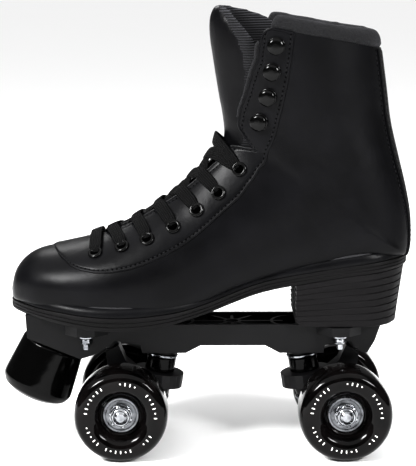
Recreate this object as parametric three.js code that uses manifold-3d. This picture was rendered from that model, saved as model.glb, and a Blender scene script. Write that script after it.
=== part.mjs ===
import * as THREE from 'three';
import { mergeVertices } from 'three/addons/utils/BufferGeometryUtils.js';
import Module from 'manifold-3d';

// A left quad roller skate. Millimetres, +Z up, toe towards -X, outer side towards -Y.
// Drawn with x = 0 midway between the axles, and moved at the end so that the origin
// is at the middle of the footprint, on the ground.

// ---- driving dimensions ----
const wheelBase = 139;
const track = 72;               // wheel centre to wheel centre, across
const wheelRadius = 29;
const wheelWidth = 32;
const deckRise = 51.6;          // plate top above the axles
const bootLength = 254;
const bootHeight = 197;         // deck to the top of the tongue

// ---- clearances and walls ----
const gap = 0.3;                // between pieces that rest on each other
const boreGap = 0.3;            // radial, shaft in hole
const shellWall = 3;            // boot leather with its lining
const soleEdge = 6.3;           // thickness of the sole
const soleBall = 2.1;           // extra thickness under the ball of the foot
const insoleThickness = 3.4;

// ---- wheels and bearings (608 size) ----
const axleRadius = 4;
const bearingOuter = 11;
const bearingBore = axleRadius + boreGap;
const bearingWidth = 7;
const bearingRecess = 7.7;      // bearing face below the wheel's face
const hubWebRadius = 9.2;
const faceRecessRadius = 15.6;
const spacerRadius = axleRadius + 1.2;
const axleNutHeight = 6.2;
const axleNutFlats = 12.8;
const axleTip = 0.9;            // axle past its nut

// ---- trucks ----
const kingpinReach = 24.8;      // top washer's centre inboard of the axle
const kingpinHeight = 29.5;     // and above it
const kingpinLean = THREE.MathUtils.degToRad(9.2);
const kingpinRadius = 4;
const kingpinHeadHeight = 5.5;
const kingpinHeadFlats = 13;
const washerThickness = 1.8;
const upperWasherRadius = 10.2;
const lowerWasherRadius = 8.6;
const upperCushionRadius = 9.5;
const upperCushionHeight = 9.2;
const lowerCushionHeight = 6.9;
const lowerCushionRadii = [9.2, 7.2];
const yokeThickness = 8.6;
const yokeRadius = 15.9;
const yokeBore = 6.4;
const kingpinNutHeight = 6.4;
const pivotReach = -9.5;        // pivot ball outboard of the axle
const pivotHeight = 39;
const pivotLean = THREE.MathUtils.degToRad(25);
const pivotBall = 5.4;
const pivotNeck = 3.9;
const pivotCupWall = 1.8;
const pivotCupSkirt = 3.5;      // cup below the ball's centre
const pivotHousingWall = 2.3;
const axleTubeRadius = 8.5;
const axleNoseRadius = 6;

// ---- baseplate ----
const plateHalfWidth = 20;
const plateWall = 3;
const plateFloor = 10.2;        // channel floor below the deck
const plateKeel = 13.2;         // underside below the deck, mid length
const plateWallFoot = 18.1;     // underside of its walls below the deck, beside the kingpins
const kingpinBossRadius = 8.6;
const flangeThickness = 5.5;
const flangeHalfWidth = 31;
const flangeLength = 27;
const boltSpan = 158.2;         // front bolts to rear bolts
const boltCentre = -12.4;       // middle of the bolt pattern
const boltSide = 25.2;
const boltRadius = 2;
const boltHeadRadius = 5;
const boltHeadHeight = 1.6;
const boltTail = 14.4;          // bolt end below the deck
const studReach = 27;           // rear bolts are studs that end inside the heel
const mountNutFlats = 7.2;
const mountNutHeight = 4;
const mountWasherRadius = 4.7;
const mountWasherThickness = 1.2;

// ---- toe stop ----
const stopLean = THREE.MathUtils.degToRad(22.5);
const stopTopRadius = 20.2;
const stopFootRadius = 23.4;
const stopHeight = 37.4;
const stopAcross = 0.88;        // width across over length along
const stopBoltRadius = 4;
const stopBoltSink = 10;        // counterbore in the foot of the stop
const stopHeadRadius = 7;

// ---- boot fittings ----
const eyeletRadius = 4.6;
const eyeletHeight = 1.2;
const hookRadius = 5.5;
const hookHeight = 5.6;
const laceWidth = 7.6;
const laceThickness = 1.5;
const backstayHalfWidth = 12;
const backstayThickness = 1.5;
const collarThickness = 6;
const tongueThickness = 4.6;

const wasm = await Module();
wasm.setup();

const deckTop = wheelRadius + deckRise;
const skate = new THREE.Group();

// ---- materials ----
function finish(color, roughness, metalness = 0) {
  return new THREE.MeshStandardMaterial({ color, roughness, metalness });
}

const leather = finish(0x1d1d20, 0.45);
const lining = finish(0x121213, 0.95);
const soleRubber = finish(0x1a1a1b, 0.6);
const nylon = finish(0x161617, 0.5);
const urethane = finish(0x241f1e, 0.15);
const blackRubber = finish(0x0b0b0c, 0.3);
const steel = finish(0xc9ccd0, 0.3, 0.9);
const blackMetal = finish(0x0c0c0d, 0.25, 0.5);
const laceCloth = finish(0x111112, 0.9);

// ---- solids ----
function mergedGeometry(geometry) {
  const bare = geometry.clone();
  for (const name of ['normal', 'uv']) {
    bare.deleteAttribute(name);
  }
  return mergeVertices(bare, 1e-4);
}

function signedVolume(geometry) {
  const p = geometry.attributes.position;
  const index = geometry.index.array;
  const [a, b, c] = [new THREE.Vector3(), new THREE.Vector3(), new THREE.Vector3()];
  let sum = 0;
  for (let i = 0; i < index.length; i += 3) {
    a.fromBufferAttribute(p, index[i]);
    b.fromBufferAttribute(p, index[i + 1]);
    c.fromBufferAttribute(p, index[i + 2]);
    sum += a.dot(b.cross(c));
  }
  return sum;
}

// merged, without collapsed triangles, and with its faces pointing out
function closed(geometry) {
  const merged = mergedGeometry(geometry);
  const old = merged.index.array;
  const kept = [];
  for (let i = 0; i < old.length; i += 3) {
    const [a, b, c] = [old[i], old[i + 1], old[i + 2]];
    if (a !== b && b !== c && c !== a) {
      kept.push(a, b, c);
    }
  }
  merged.setIndex(kept);
  if (signedVolume(merged) < 0) {
    merged.index.array.reverse();
  }
  return merged;
}

function solid(geometry) {
  const whole = closed(geometry);
  return new wasm.Manifold(new wasm.Mesh({
    numProp: 3,
    vertProperties: new Float32Array(whole.attributes.position.array),
    triVerts: new Uint32Array(whole.index.array),
  }));
}

function geometryOf(body) {
  const mesh = body.getMesh();
  const geometry = new THREE.BufferGeometry();
  geometry.setAttribute('position', new THREE.BufferAttribute(mesh.vertProperties, 3));
  geometry.setIndex(new THREE.BufferAttribute(mesh.triVerts, 1));
  return geometry;
}

function joined(parts) {
  return parts.reduce((whole, part) => whole.add(part));
}

function cut(body, tools) {
  return tools.reduce((rest, tool) => rest.subtract(tool), body);
}

function add(parent, name, geometry, material, place) {
  const mesh = new THREE.Mesh(geometry, material);
  mesh.name = name;
  if (place) {
    mesh.position.copy(place);
  }
  parent.add(mesh);
  return mesh;
}

// ring or disc turned about Y; the profile is [radius, along] and closes by itself
function turned(profile, segments) {
  const points = profile.map(([r, t]) => new THREE.Vector2(r, t));
  if (profile[0][0] > 0) {
    points.push(points[0].clone());
  }
  return closed(new THREE.LatheGeometry(points, segments));
}

function disc(radius, from, to, segments) {
  return turned([[0, from], [radius, from], [radius, to], [0, to]], segments);
}

function ring(inner, outer, from, to, segments) {
  return turned([[inner, from], [outer, from], [outer, to], [inner, to]], segments);
}

// turns a shape made along Y so that it runs along a direction from a point
function along(geometry, origin, direction) {
  const turn = new THREE.Quaternion().setFromUnitVectors(new THREE.Vector3(0, 1, 0), direction);
  return geometry.clone().applyQuaternion(turn).translate(origin.x, origin.y, origin.z);
}

function hexPrism(flats, from, to) {
  return disc(flats / Math.sqrt(3), from, to, 6);
}

// side-view outline [x, z] carried across from y0 to y1
function sideBlock(points, y0, y1) {
  const shape = new THREE.Shape(points.map(([x, z]) => new THREE.Vector2(x, z)));
  const block = new THREE.ExtrudeGeometry(shape, { depth: y1 - y0, bevelEnabled: false });
  return block.rotateX(Math.PI / 2).translate(0, y1, 0);
}

// plan outline [x, y] raised from z0 to z1
function planBlock(points, z0, z1) {
  const shape = new THREE.Shape(points.map(([x, y]) => new THREE.Vector2(x, y)));
  return new THREE.ExtrudeGeometry(shape, { depth: z1 - z0, bevelEnabled: false }).translate(0, 0, z0);
}

// smooth run through [a, b] points
function smooth(points, steps) {
  const curve = new THREE.SplineCurve(points.map(([a, b]) => new THREE.Vector2(a, b)));
  return curve.getPoints(steps).map((p) => [p.x, p.y]);
}

function between(table, key) {
  const last = table.length - 1;
  let i = 0;
  while (i < last - 1 && key > table[i + 1][0]) {
    i += 1;
  }
  const [k0, v0] = table[i];
  const [k1, v1] = table[i + 1];
  return THREE.MathUtils.mapLinear(THREE.MathUtils.clamp(key, k0, k1), k0, k1, v0, v1);
}

// ---- wheels ----
const wheelSides = 20;
const seatFace = wheelWidth / 2 - bearingRecess;
const seatBottom = seatFace - bearingWidth - gap;

// half of the wheel's section from the web's middle out over the tread, as [radius, across]
function wheelSection() {
  const half = wheelWidth / 2;
  const upright = [
    [wheelRadius, half - 5.5],
    [wheelRadius - 1.6, half - 1.6],
    [wheelRadius - 3.8, half],
    [faceRecessRadius + 1, half],
    [faceRecessRadius, half - 2.5],
    [bearingOuter + boreGap + 1.2, seatFace + 0.6],
    [bearingOuter + boreGap, seatFace],
    [bearingOuter + boreGap, seatBottom],
    [hubWebRadius, seatBottom],
  ];
  const lower = upright.map(([r, t]) => [r, -t]).reverse();
  return [...lower, ...upright];
}

// the flats of the turned tread touch the true circle, so the wheel stands on one
function wheelShape() {
  const flat = Math.PI / wheelSides;
  return turned(wheelSection(), wheelSides).rotateY(flat).scale(1 / Math.cos(flat), 1, 1 / Math.cos(flat));
}

function bearingShape() {
  return ring(bearingBore, bearingOuter, -bearingWidth / 2, bearingWidth / 2, 16);
}

function axleNutShape() {
  const nut = solid(hexPrism(axleNutFlats, 0, axleNutHeight));
  const hole = solid(disc(axleRadius + boreGap, -1, axleNutHeight + 1, 16));
  return geometryOf(nut.subtract(hole));
}

// shaft with the two spacer sleeves that keep each wheel's bearings apart
function axleShape() {
  const end = track / 2 + seatFace + gap + axleNutHeight + axleTip;
  const sleeve = seatBottom - gap;
  const shaft = solid(turned([[0, -end], [axleRadius - 1.2, -end], [axleRadius, -end + 1.2],
    [axleRadius, end - 1.2], [axleRadius - 1.2, end], [0, end]], 16));
  const sleeves = [-1, 1].map((side) =>
    solid(disc(spacerRadius, side * track / 2 - sleeve, side * track / 2 + sleeve, 16)));
  return geometryOf(joined([shaft, ...sleeves]));
}

// ---- truck geometry, in a frame at the axle's middle with +X inboard ----
const kingpinUp = new THREE.Vector3(Math.sin(kingpinLean), 0, Math.cos(kingpinLean));
const kingpinTop = new THREE.Vector3(kingpinReach, 0, kingpinHeight);
const pivotUp = new THREE.Vector3(-Math.sin(pivotLean), 0, Math.cos(pivotLean));
const pivotCentre = new THREE.Vector3(pivotReach, 0, pivotHeight);

const upperCushionTop = washerThickness + gap;
const yokeTop = upperCushionTop + upperCushionHeight + gap;
const lowerCushionTop = yokeTop + yokeThickness + gap;
const lowerWasherTop = lowerCushionTop + lowerCushionHeight + gap;
const kingpinNutTop = lowerWasherTop + washerThickness + gap;
const kingpinSeat = deckRise - plateFloor - kingpinHeight;   // channel floor above the top washer

function onKingpin(geometry) {
  return along(geometry, kingpinTop, kingpinUp);
}

function onPivot(geometry) {
  return along(geometry, pivotCentre, pivotUp);
}

// depth is measured down the kingpin from the top washer's upper face
function kingpinRing(radius, top, height, segments) {
  return onKingpin(ring(kingpinRadius + boreGap, radius, -top - height, -top, segments));
}

function lowerCushionShape() {
  const [wide, narrow] = lowerCushionRadii;
  const bore = kingpinRadius + boreGap;
  const top = -lowerCushionTop;
  const foot = top - lowerCushionHeight;
  return onKingpin(turned([[bore, foot], [narrow, foot], [wide, top], [bore, top]], 18));
}

function kingpinShape() {
  const tail = -kingpinNutTop - kingpinNutHeight - 1.5;
  const shaft = solid(disc(kingpinRadius, tail, kingpinSeat + gap + 1, 16));
  const head = solid(hexPrism(kingpinHeadFlats, kingpinSeat + gap, kingpinSeat + gap + kingpinHeadHeight));
  return onKingpin(geometryOf(shaft.add(head)));
}

function kingpinNutShape() {
  const nut = solid(hexPrism(kingpinHeadFlats, -kingpinNutTop - kingpinNutHeight, -kingpinNutTop));
  const hole = solid(disc(kingpinRadius + boreGap, -kingpinNutTop - 20, -kingpinNutTop + 1, 16));
  return onKingpin(geometryOf(nut.subtract(hole)));
}

// rubber socket: round inside at the ball, open downwards
function pivotCupShape() {
  const outer = pivotBall + 0.5 + pivotCupWall;
  const inner = pivotBall + 0.5;
  const arc = [1, 2, 3, 4, 5].map((i) => {
    const turn = (i / 5) * Math.PI / 2;
    return [inner * Math.sin(turn), inner * Math.cos(turn)];
  });
  return onPivot(turned([[0, inner], ...arc, [inner, -pivotCupSkirt], [outer, -pivotCupSkirt],
    [outer, inner], [outer - 1.6, inner + pivotCupWall], [0, inner + pivotCupWall]], 14));
}

function hangerWeb() {
  const yoke = kingpinTop.clone().addScaledVector(kingpinUp, -yokeTop);
  const foot = kingpinTop.clone().addScaledVector(kingpinUp, -yokeTop - yokeThickness);
  const neck = pivotCentre.clone().addScaledVector(pivotUp, -pivotCupSkirt - 2.6);
  const across = new THREE.Vector3(pivotUp.z, 0, -pivotUp.x);
  const outer = neck.clone().addScaledVector(across, -4.6);
  const inner = neck.clone().addScaledVector(across, 4.6);
  return sideBlock([
    [outer.x, outer.z],
    [inner.x, inner.z],
    [inner.x + 4.4, inner.z - 10],
    [yoke.x - yokeRadius + 3, yoke.z],
    [foot.x - yokeRadius + 5, foot.z],
    [axleTubeRadius - 0.5, -axleTubeRadius + 3.5],
    [-axleTubeRadius + 1, -axleTubeRadius + 4],
    [-axleTubeRadius, axleTubeRadius],
  ], -7, 7);
}

function hangerShape() {
  const noseEnd = track / 2 - seatFace - gap;
  const shoulder = track / 2 - wheelWidth / 2 - 3;
  const tube = solid(turned([[0, -noseEnd], [axleNoseRadius, -noseEnd],
    [axleNoseRadius, -shoulder - 1.5], [axleTubeRadius - 1, -shoulder],
    [axleTubeRadius, -shoulder / 2], [axleTubeRadius, shoulder / 2],
    [axleTubeRadius - 1, shoulder], [axleNoseRadius, shoulder + 1.5],
    [axleNoseRadius, noseEnd], [0, noseEnd]], 16));
  const yoke = solid(onKingpin(disc(yokeRadius, -yokeTop - yokeThickness, -yokeTop, 20)));
  const ball = solid(new THREE.SphereGeometry(pivotBall, 12, 8)
    .translate(pivotCentre.x, pivotCentre.y, pivotCentre.z));
  const neck = solid(onPivot(disc(pivotNeck, -pivotCupSkirt - 6, 0, 12)));
  const whole = joined([tube, yoke, solid(hangerWeb()), ball, neck]);
  const bore = solid(onKingpin(disc(yokeBore, -yokeTop - yokeThickness - 1, -yokeTop + 1, 20)));
  const shaft = solid(disc(axleRadius + boreGap, -noseEnd - 1, noseEnd + 1, 16));
  return geometryOf(cut(whole, [bore, shaft]));
}

// which is front or rear; the rear truck is the front one mirrored
function addTruck(which, direction) {
  const group = new THREE.Group();
  group.position.set(-direction * wheelBase / 2, 0, wheelRadius);
  skate.add(group);
  const put = (name, geometry, material) =>
    add(group, `${name}_${which}`, closed(geometry.clone().scale(direction, 1, 1)), material);
  put('hanger', hangerShape(), nylon);
  put('axle', axleShape(), steel);
  put('kingpin', kingpinShape(), steel);
  put('kingpin_nut', kingpinNutShape(), steel);
  put('washer_upper', kingpinRing(upperWasherRadius, 0, washerThickness, 20), steel);
  put('washer_lower', kingpinRing(lowerWasherRadius, lowerWasherTop, washerThickness, 18), steel);
  put('cushion_upper', kingpinRing(upperCushionRadius, upperCushionTop, upperCushionHeight, 18), blackRubber);
  put('cushion_lower', lowerCushionShape(), blackRubber);
  put('pivot_cup', pivotCupShape(), blackRubber);
  for (const [name, side] of [['left', -1], ['right', 1]]) {
    addWheel(group, `${which}_${name}`, side);
  }
}

function addWheel(group, place, side) {
  const centre = new THREE.Vector3(0, side * track / 2, 0);
  const bearingOffset = seatFace - bearingWidth / 2;
  add(group, `wheel_${place}`, wheelShape(), urethane, centre);
  for (const [name, out] of [['outer', 1], ['inner', -1]]) {
    const spot = centre.clone().add(new THREE.Vector3(0, side * out * bearingOffset, 0));
    add(group, `bearing_${name}_${place}`, bearingShape(), steel, spot);
  }
  const nut = axleNutShape().scale(1, side, 1);
  const seat = new THREE.Vector3(0, side * (track / 2 + seatFace + gap), 0);
  add(group, `axle_nut_${place}`, closed(nut), steel, seat);
}

// ---- baseplate ----
// a point of a truck, given inboard of its axle and above it, in the skate's frame
function fromTruck(direction, inboard, above) {
  return [direction * (inboard - wheelBase / 2), wheelRadius + above];
}

// plate underside at one truck, from the pivot housing to the bridge
function trunkOutline(direction) {
  const boss = upperWasherRadius + 1.8;
  const face = kingpinTop.clone().addScaledVector(kingpinUp, gap);
  const rise = Math.tan(kingpinLean) * boss;
  return [
    [pivotReach + 5.2, pivotHeight + 2.3],
    [kingpinReach - boss - 1.2, pivotHeight],
    [kingpinReach - boss, face.z + rise],
    [face.x + boss, face.z - rise],
    [kingpinReach + boss + 3, deckRise - plateKeel - 5],
    [kingpinReach + boss + 12.4, deckRise - plateKeel],
  ].map(([inboard, above]) => fromTruck(direction, inboard, above));
}

const noseX = -130;
const stopBack = -96;           // rear edge of the toe stop's seat
const stopFront = -129;
const stopMiddle = -113.4;
const stopDrop = 14.8;          // middle of the seat below the deck
const tailX = 92.6;
const stopSeatAt = (x) => deckTop - stopDrop - (x - stopMiddle) * Math.tan(stopLean);

function plateProfile() {
  const front = trunkOutline(1);
  const rear = trunkOutline(-1).reverse();
  return [
    [stopFront, stopSeatAt(stopFront)],
    [stopBack, stopSeatAt(stopBack)],
    [stopBack + 8, stopSeatAt(stopBack) + 2.4],
    ...front,
    ...rear,
    [tailX - 12, deckTop - 17.5],
    [tailX - 8, deckTop - 18],
    [tailX - 3.4, deckTop - 10],
    [tailX, deckTop],
    [stopBack + 20, deckTop],
    [stopBack + 10, deckTop + 9],
    [noseX, deckTop + 9],
  ];
}

function flange(centre, rise) {
  const half = flangeLength / 2;
  const corner = 8;
  const outline = [];
  for (const [sx, sy] of [[1, 1], [-1, 1], [-1, -1], [1, -1]]) {
    const ends = [[sx * half, sy * (flangeHalfWidth - corner)], [sx * (half - corner), sy * flangeHalfWidth]];
    outline.push(...(sx * sy > 0 ? ends : ends.reverse()));
  }
  return planBlock(outline.map(([x, y]) => [x + centre, y]), deckTop - flangeThickness, deckTop + rise);
}

function upright(radius, x, y, z0, z1, segments) {
  return along(disc(radius, z0, z1, segments), new THREE.Vector3(x, y, 0), new THREE.Vector3(0, 0, 1));
}

// ribs inside the open channel: a hub ring with spokes and a horseshoe towards each truck
function plateRibs(channelEnd) {
  const top = deckTop - 1.6;
  const floor = deckTop - plateFloor - 1;
  const thick = 1.8;
  const bar = (x0, y0, x1, y1) => {
    const length = Math.hypot(x1 - x0, y1 - y0);
    return solid(new THREE.BoxGeometry(length, thick, top - floor)
      .rotateZ(Math.atan2(y1 - y0, x1 - x0))
      .translate((x0 + x1) / 2, (y0 + y1) / 2, (top + floor) / 2));
  };
  const inner = plateHalfWidth - plateWall + 1;
  const hub = solid(upright(6, 0, 0, floor, top, 12));
  const hubHole = solid(upright(4.2, 0, 0, floor - 1, top + 1, 12));
  const ribs = [bar(0, -inner, 0, inner), bar(-channelEnd, 0, channelEnd, 0)];
  for (const side of [-1, 1]) {
    ribs.push(bar(-15, side * inner, 15, -side * inner));
    const centre = side * channelEnd * 0.66;
    const horseshoe = solid(upright(inner, centre, 0, floor, top, 18))
      .subtract(solid(upright(inner - thick, centre, 0, floor - 1, top + 1, 18)));
    ribs.push(horseshoe);
  }
  return cut(joined([...ribs, hub]), [hubHole]);
}

function pivotHousingTools(direction) {
  const radius = pivotBall + 0.5 + pivotCupWall + gap;
  const back = pivotBall + 0.5 + pivotCupWall + gap;
  const place = (geometry) => {
    const turnedRound = onPivot(geometry).translate(-wheelBase / 2, 0, wheelRadius).scale(direction, 1, 1);
    return solid(turnedRound);
  };
  const housing = place(disc(radius + pivotHousingWall, -pivotCupSkirt, back + 2, 24));
  const pocket = place(disc(radius, -pivotCupSkirt - 14, back, 24));
  return { housing, pocket };
}

// takes the walls away around the round boss that the top washer sits under
function bossTrim(direction) {
  const [from, to] = [kingpinReach - 17, kingpinReach + upperWasherRadius + 16];
  const foot = deckRise - plateWallFoot;
  const outline = [[from, foot - 20], [from, foot], [to, foot], [to, foot - 20]]
    .map(([inboard, above]) => fromTruck(direction, inboard, above));
  const boss = onKingpin(disc(kingpinBossRadius, -8, kingpinSeat, 24))
    .translate(-wheelBase / 2, 0, wheelRadius).scale(direction, 1, 1);
  return solid(sideBlock(outline, -plateHalfWidth - 1, plateHalfWidth + 1)).subtract(solid(boss));
}

function kingpinTools(direction) {
  const place = (geometry) =>
    solid(onKingpin(geometry).translate(-wheelBase / 2, 0, wheelRadius).scale(direction, 1, 1));
  const hole = place(disc(kingpinRadius + boreGap, -5, kingpinSeat + 9, 16));
  const recess = place(disc(kingpinHeadFlats / 2 + 2.6, kingpinSeat, kingpinSeat + 16, 20));
  return [hole, recess];
}

function boltSpots() {
  const spots = [];
  for (const [end, sx] of [['front', -1], ['rear', 1]]) {
    for (const [name, sy] of [['left', -1], ['right', 1]]) {
      spots.push({ name: `${end}_${name}`, end, x: boltCentre + sx * boltSpan / 2, y: sy * boltSide });
    }
  }
  return spots;
}

function plateShape() {
  const beam = solid(sideBlock(plateProfile(), -plateHalfWidth, plateHalfWidth));
  const channelEnd = wheelBase / 2 - 6;
  const inner = plateHalfWidth - plateWall;
  const channel = solid(planBlock([[-channelEnd, -inner], [channelEnd, -inner], [channelEnd, inner],
    [-channelEnd, inner]], deckTop - plateFloor, deckTop + 10));
  const housings = [1, -1].map(pivotHousingTools);
  const flanges = [[-1, 5], [1, 0]]
    .map(([side, rise]) => solid(flange(boltCentre + side * boltSpan / 2, rise)));
  const below = deckTop - 30;
  const bolts = boltSpots()
    .map(({ x, y }) => solid(upright(boltRadius + boreGap, x, y, below, deckTop + 9, 12)));
  const stopHole = solid(onStop(disc(stopBoltRadius + boreGap, -1, stopBoltSink + 2, 16)));
  const open = beam.subtract(channel).add(plateRibs(channelEnd));
  const whole = joined([open, ...flanges, ...housings.map((h) => h.housing)]);
  // the plate follows the sole ahead of the ball and is level behind it
  const lid = soleUnderPoints().map(([x, z]) => [x, x > ballMiddle * lengthwise ? deckTop : z - gap]);
  const soleClear = solid(sideBlock([...lid, [200, deckTop + 90], [-200, deckTop + 90]], -70, 70));
  const tools = [...housings.map((h) => h.pocket), ...[1, -1].flatMap(kingpinTools),
    ...[1, -1].map(bossTrim), ...bolts, stopHole, soleClear];
  return geometryOf(cut(whole, tools));
}

// ---- toe stop: turned about the normal of its seat, narrower across ----
function onStop(geometry) {
  const up = new THREE.Vector3(Math.sin(stopLean), 0, Math.cos(stopLean));
  return along(geometry, new THREE.Vector3(stopMiddle, 0, stopSeatAt(stopMiddle)), up);
}

function stopShape() {
  const foot = -gap - stopHeight;
  const body = turned([[0, foot], [stopFootRadius - 8, foot + 0.4], [stopFootRadius - 2.6, foot + 3],
    [stopFootRadius, foot + 8], [stopTopRadius, -2.2], [stopTopRadius - 2, -gap], [0, -gap]], 24)
    .scale(1, 1, stopAcross);
  const hole = solid(disc(stopBoltRadius + boreGap, foot - 1, 1, 16));
  const sink = solid(disc(stopHeadRadius + 2, foot - 1, foot + stopBoltSink, 18));
  return onStop(geometryOf(cut(solid(body), [hole, sink])));
}

function stopBoltShape() {
  const seat = -gap - stopHeight + stopBoltSink - gap;
  const shaft = solid(disc(stopBoltRadius, seat - 1, stopBoltSink, 16));
  const head = solid(hexPrism(stopHeadRadius * Math.sqrt(3), seat - 5.3, seat));
  return onStop(geometryOf(shaft.add(head)));
}

// ---- the last: sections through the boot, from the toe, round the heel, to the top ----
// Each row runs from a point on the sole or heel to a point on the crest. Its numbers:
// base x, base z, crest x, crest z, half width, shift across, fullness low, fullness
// high, and where along the row it is widest. Heights are above the deck.
const lastLength = 254;         // length and height that the rows are drawn for
const lastHeight = 197;
const lastRows = [
  [-138.6, 14.8, -139.6, 22.5, 8, 5, 2.2, 2.2, 0.5],
  [-136.4, 13.6, -137.2, 31.6, 17.5, 5, 2.6, 2.2, 0.42],
  [-130.5, 13.1, -131, 39.2, 26, 5.2, 3, 2.2, 0.38],
  [-121, 12, -121.5, 44.4, 33, 5, 3.2, 2.2, 0.36],
  [-105, 11, -105.5, 48, 39.5, 4, 3.4, 2.2, 0.34],
  [-85, 9.3, -88, 52.4, 43, 2.5, 3.6, 2.2, 0.32],
  [-64, 9.1, -66.5, 61.6, 43.5, 1.2, 3.6, 2.1, 0.3],
  [-42, 10.4, -49.5, 72.6, 41, 0.5, 3.4, 2.05, 0.3],
  [-19, 15.1, -34.5, 85, 37, 0, 3.2, 2, 0.32],
  [6, 24.2, -21, 99, 34.5, 0, 3, 2, 0.35],
  [38, 32.6, -13, 110, 33, 0, 2.8, 2, 0.38],
  [72, 38.4, -10.3, 118.6, 32, 0, 2.6, 2, 0.42],
  [100, 42.6, -10.8, 127, 31.5, 0, 2.4, 2, 0.46],
  [109.4, 48, -12, 136.6, 31, 0, 2.2, 2, 0.5],
  [111.8, 65, -13.6, 147, 31, 0, 2.1, 2, 0.5],
  [108.8, 84, -15.2, 159.5, 31.5, 0, 2.1, 2, 0.5],
  [103.6, 105, -16.7, 171.5, 32.3, 0, 2.1, 2, 0.5],
  [98.4, 126.6, -17.8, 181, 33, 0, 2.1, 2, 0.5],
  [95.2, 149.6, -18, 188, 33.7, 0, 2.1, 2, 0.5],
  [92, 171.9, -17, 193.4, 34.2, 0, 2.1, 2, 0.5],
  [90.2, 184.6, -14, 201.4, 34.5, 0, 2.1, 2, 0.5],
];
const topRow = 19;              // top edge of the leather
const lengthwise = bootLength / lastLength;
const upwards = bootHeight / lastHeight;

function rowCurve(columns) {
  const points = lastRows.map((row) => new THREE.Vector3(...columns.map((c) => row[c])));
  return new THREE.CatmullRomCurve3(points, false, 'catmullrom', 0.5);
}

const baseCurve = rowCurve([0, 1, 4]);
const crestCurve = rowCurve([2, 3, 5]);
const fullnessCurve = rowCurve([6, 7, 8]);

function lastRow(row) {
  const t = row / (lastRows.length - 1);
  const base = baseCurve.getPoint(t);
  const crest = crestCurve.getPoint(t);
  const fullness = fullnessCurve.getPoint(t);
  return {
    base: new THREE.Vector2(base.x * lengthwise, deckTop + base.y * upwards),
    crest: new THREE.Vector2(crest.x * lengthwise, deckTop + crest.y * upwards),
    half: base.z,
    shift: crest.z,
    low: fullness.x,
    high: fullness.y,
    widest: fullness.z,
  };
}

// point of the boot's surface: turn 0 at the base, pi at the crest, negative on the outer side
function lastPoint(row, turn, inset) {
  const section = lastRow(row);
  const run = section.crest.clone().sub(section.base);
  const length = run.length() - 2 * inset;
  const step = run.normalize();
  const start = section.base.clone().addScaledVector(step, inset);
  const c = Math.cos(turn);
  const s = Math.sin(turn);
  const power = 2 / (c > 0 ? section.low : section.high);
  const reach = Math.abs(c) ** power;
  const middle = section.widest * length;
  const u = c > 0 ? middle * (1 - reach) : middle + (length - middle) * reach;
  const across = (section.half - inset) * Math.sign(s) * Math.abs(s) ** power;
  const spot = start.addScaledVector(step, u);
  return new THREE.Vector3(spot.x, section.shift + across, spot.y);
}

// turn at which the surface is a given distance from the crest, measured across
function turnAcross(row, across, inset = 0) {
  const section = lastRow(row);
  const share = Math.min(1, Math.max(0, across) / (section.half - inset));
  return Math.PI - Math.asin(share ** (section.high / 2));
}

// the sides of a closed grid of points [i][j], closed round j
function gridSides(rows) {
  const around = rows[0].length;
  const index = [];
  for (let i = 0; i < rows.length - 1; i += 1) {
    for (let j = 0; j < around; j += 1) {
      const a = i * around + j;
      const b = i * around + (j + 1) % around;
      index.push(a, b, b + around, a, b + around, a + around);
    }
  }
  return index;
}

function gridGeometry(points, index) {
  const geometry = new THREE.BufferGeometry();
  geometry.setAttribute('position', new THREE.Float32BufferAttribute(points.flatMap((p) => [...p]), 3));
  geometry.setIndex(index);
  return closed(geometry);
}

// grid whose ends are round, each capped from its middle
function loftRound(rows) {
  const around = rows[0].length;
  const points = rows.flat();
  const index = gridSides(rows);
  for (const [row, first, flip] of [[rows[0], 0, true], [rows.at(-1), points.length - around, false]]) {
    const centre = new THREE.Vector3();
    row.forEach((p) => centre.addScaledVector(p, 1 / around));
    const middle = points.push(centre) - 1;
    for (let j = 0; j < around; j += 1) {
      const [a, b] = [first + j, first + (j + 1) % around];
      index.push(...(flip ? [middle, b, a] : [middle, a, b]));
    }
  }
  return gridGeometry(points, index);
}

// grid whose ends are strips: the second half of each row runs back along the first
function loftStrip(rows) {
  const around = rows[0].length;
  const index = gridSides(rows);
  const last = (rows.length - 1) * around;
  for (let j = 0; j + 1 < around / 2; j += 1) {
    const [a, b, c, d] = [j, j + 1, around - 2 - j, around - 1 - j];
    index.push(a, c, b, a, d, c);
    index.push(last + a, last + b, last + c, last + a, last + c, last + d);
  }
  return gridGeometry(rows.flat(), index);
}

function range(from, to, steps) {
  return Array.from({ length: steps + 1 }, (_, i) => from + (to - from) * (i / steps));
}

// whole body of the last between two rows
function lastBody(from, to, inset, steps, around) {
  const turns = range(-Math.PI, Math.PI, around).slice(1);
  return loftRound(range(from, to, steps).map((row) => turns.map((turn) => lastPoint(row, turn, inset))));
}

// patch of the boot's wall between two rows and two turns, from one inset to another
function lastPatch(rows, turnsAt, insets, around) {
  const [outer, inner] = insets;
  return loftStrip(rows.map((row) => {
    const [from, to] = turnsAt(row);
    const turns = range(from, to, around);
    const out = turns.map((turn) => lastPoint(row, turn, outer));
    const back = turns.map((turn) => lastPoint(row, turn, inner)).reverse();
    return [...out, ...back];
  }));
}

// half width of the throat, by row
const throatStart = 5.1;
const throat = [[throatStart, 0.4], [5.7, 9], [8, 13.5], [12, 19], [16, 24], [topRow, 31], [20, 32.5]];

function throatTurns(row) {
  const edge = turnAcross(row, between(throat, row));
  return [edge, 2 * Math.PI - edge];
}

const tongueRows = [5.9, 19.75];
const tongueHalf = [[5.9, 13], [8, 19], [12, 24.5], [15, 23.5], [16.8, 21.3], [topRow, 25.8], [20, 27]];
const softGap = 1.1;            // soft pieces keep clear of the leather's flat facets
const tongueInset = shellWall + softGap;

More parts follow.
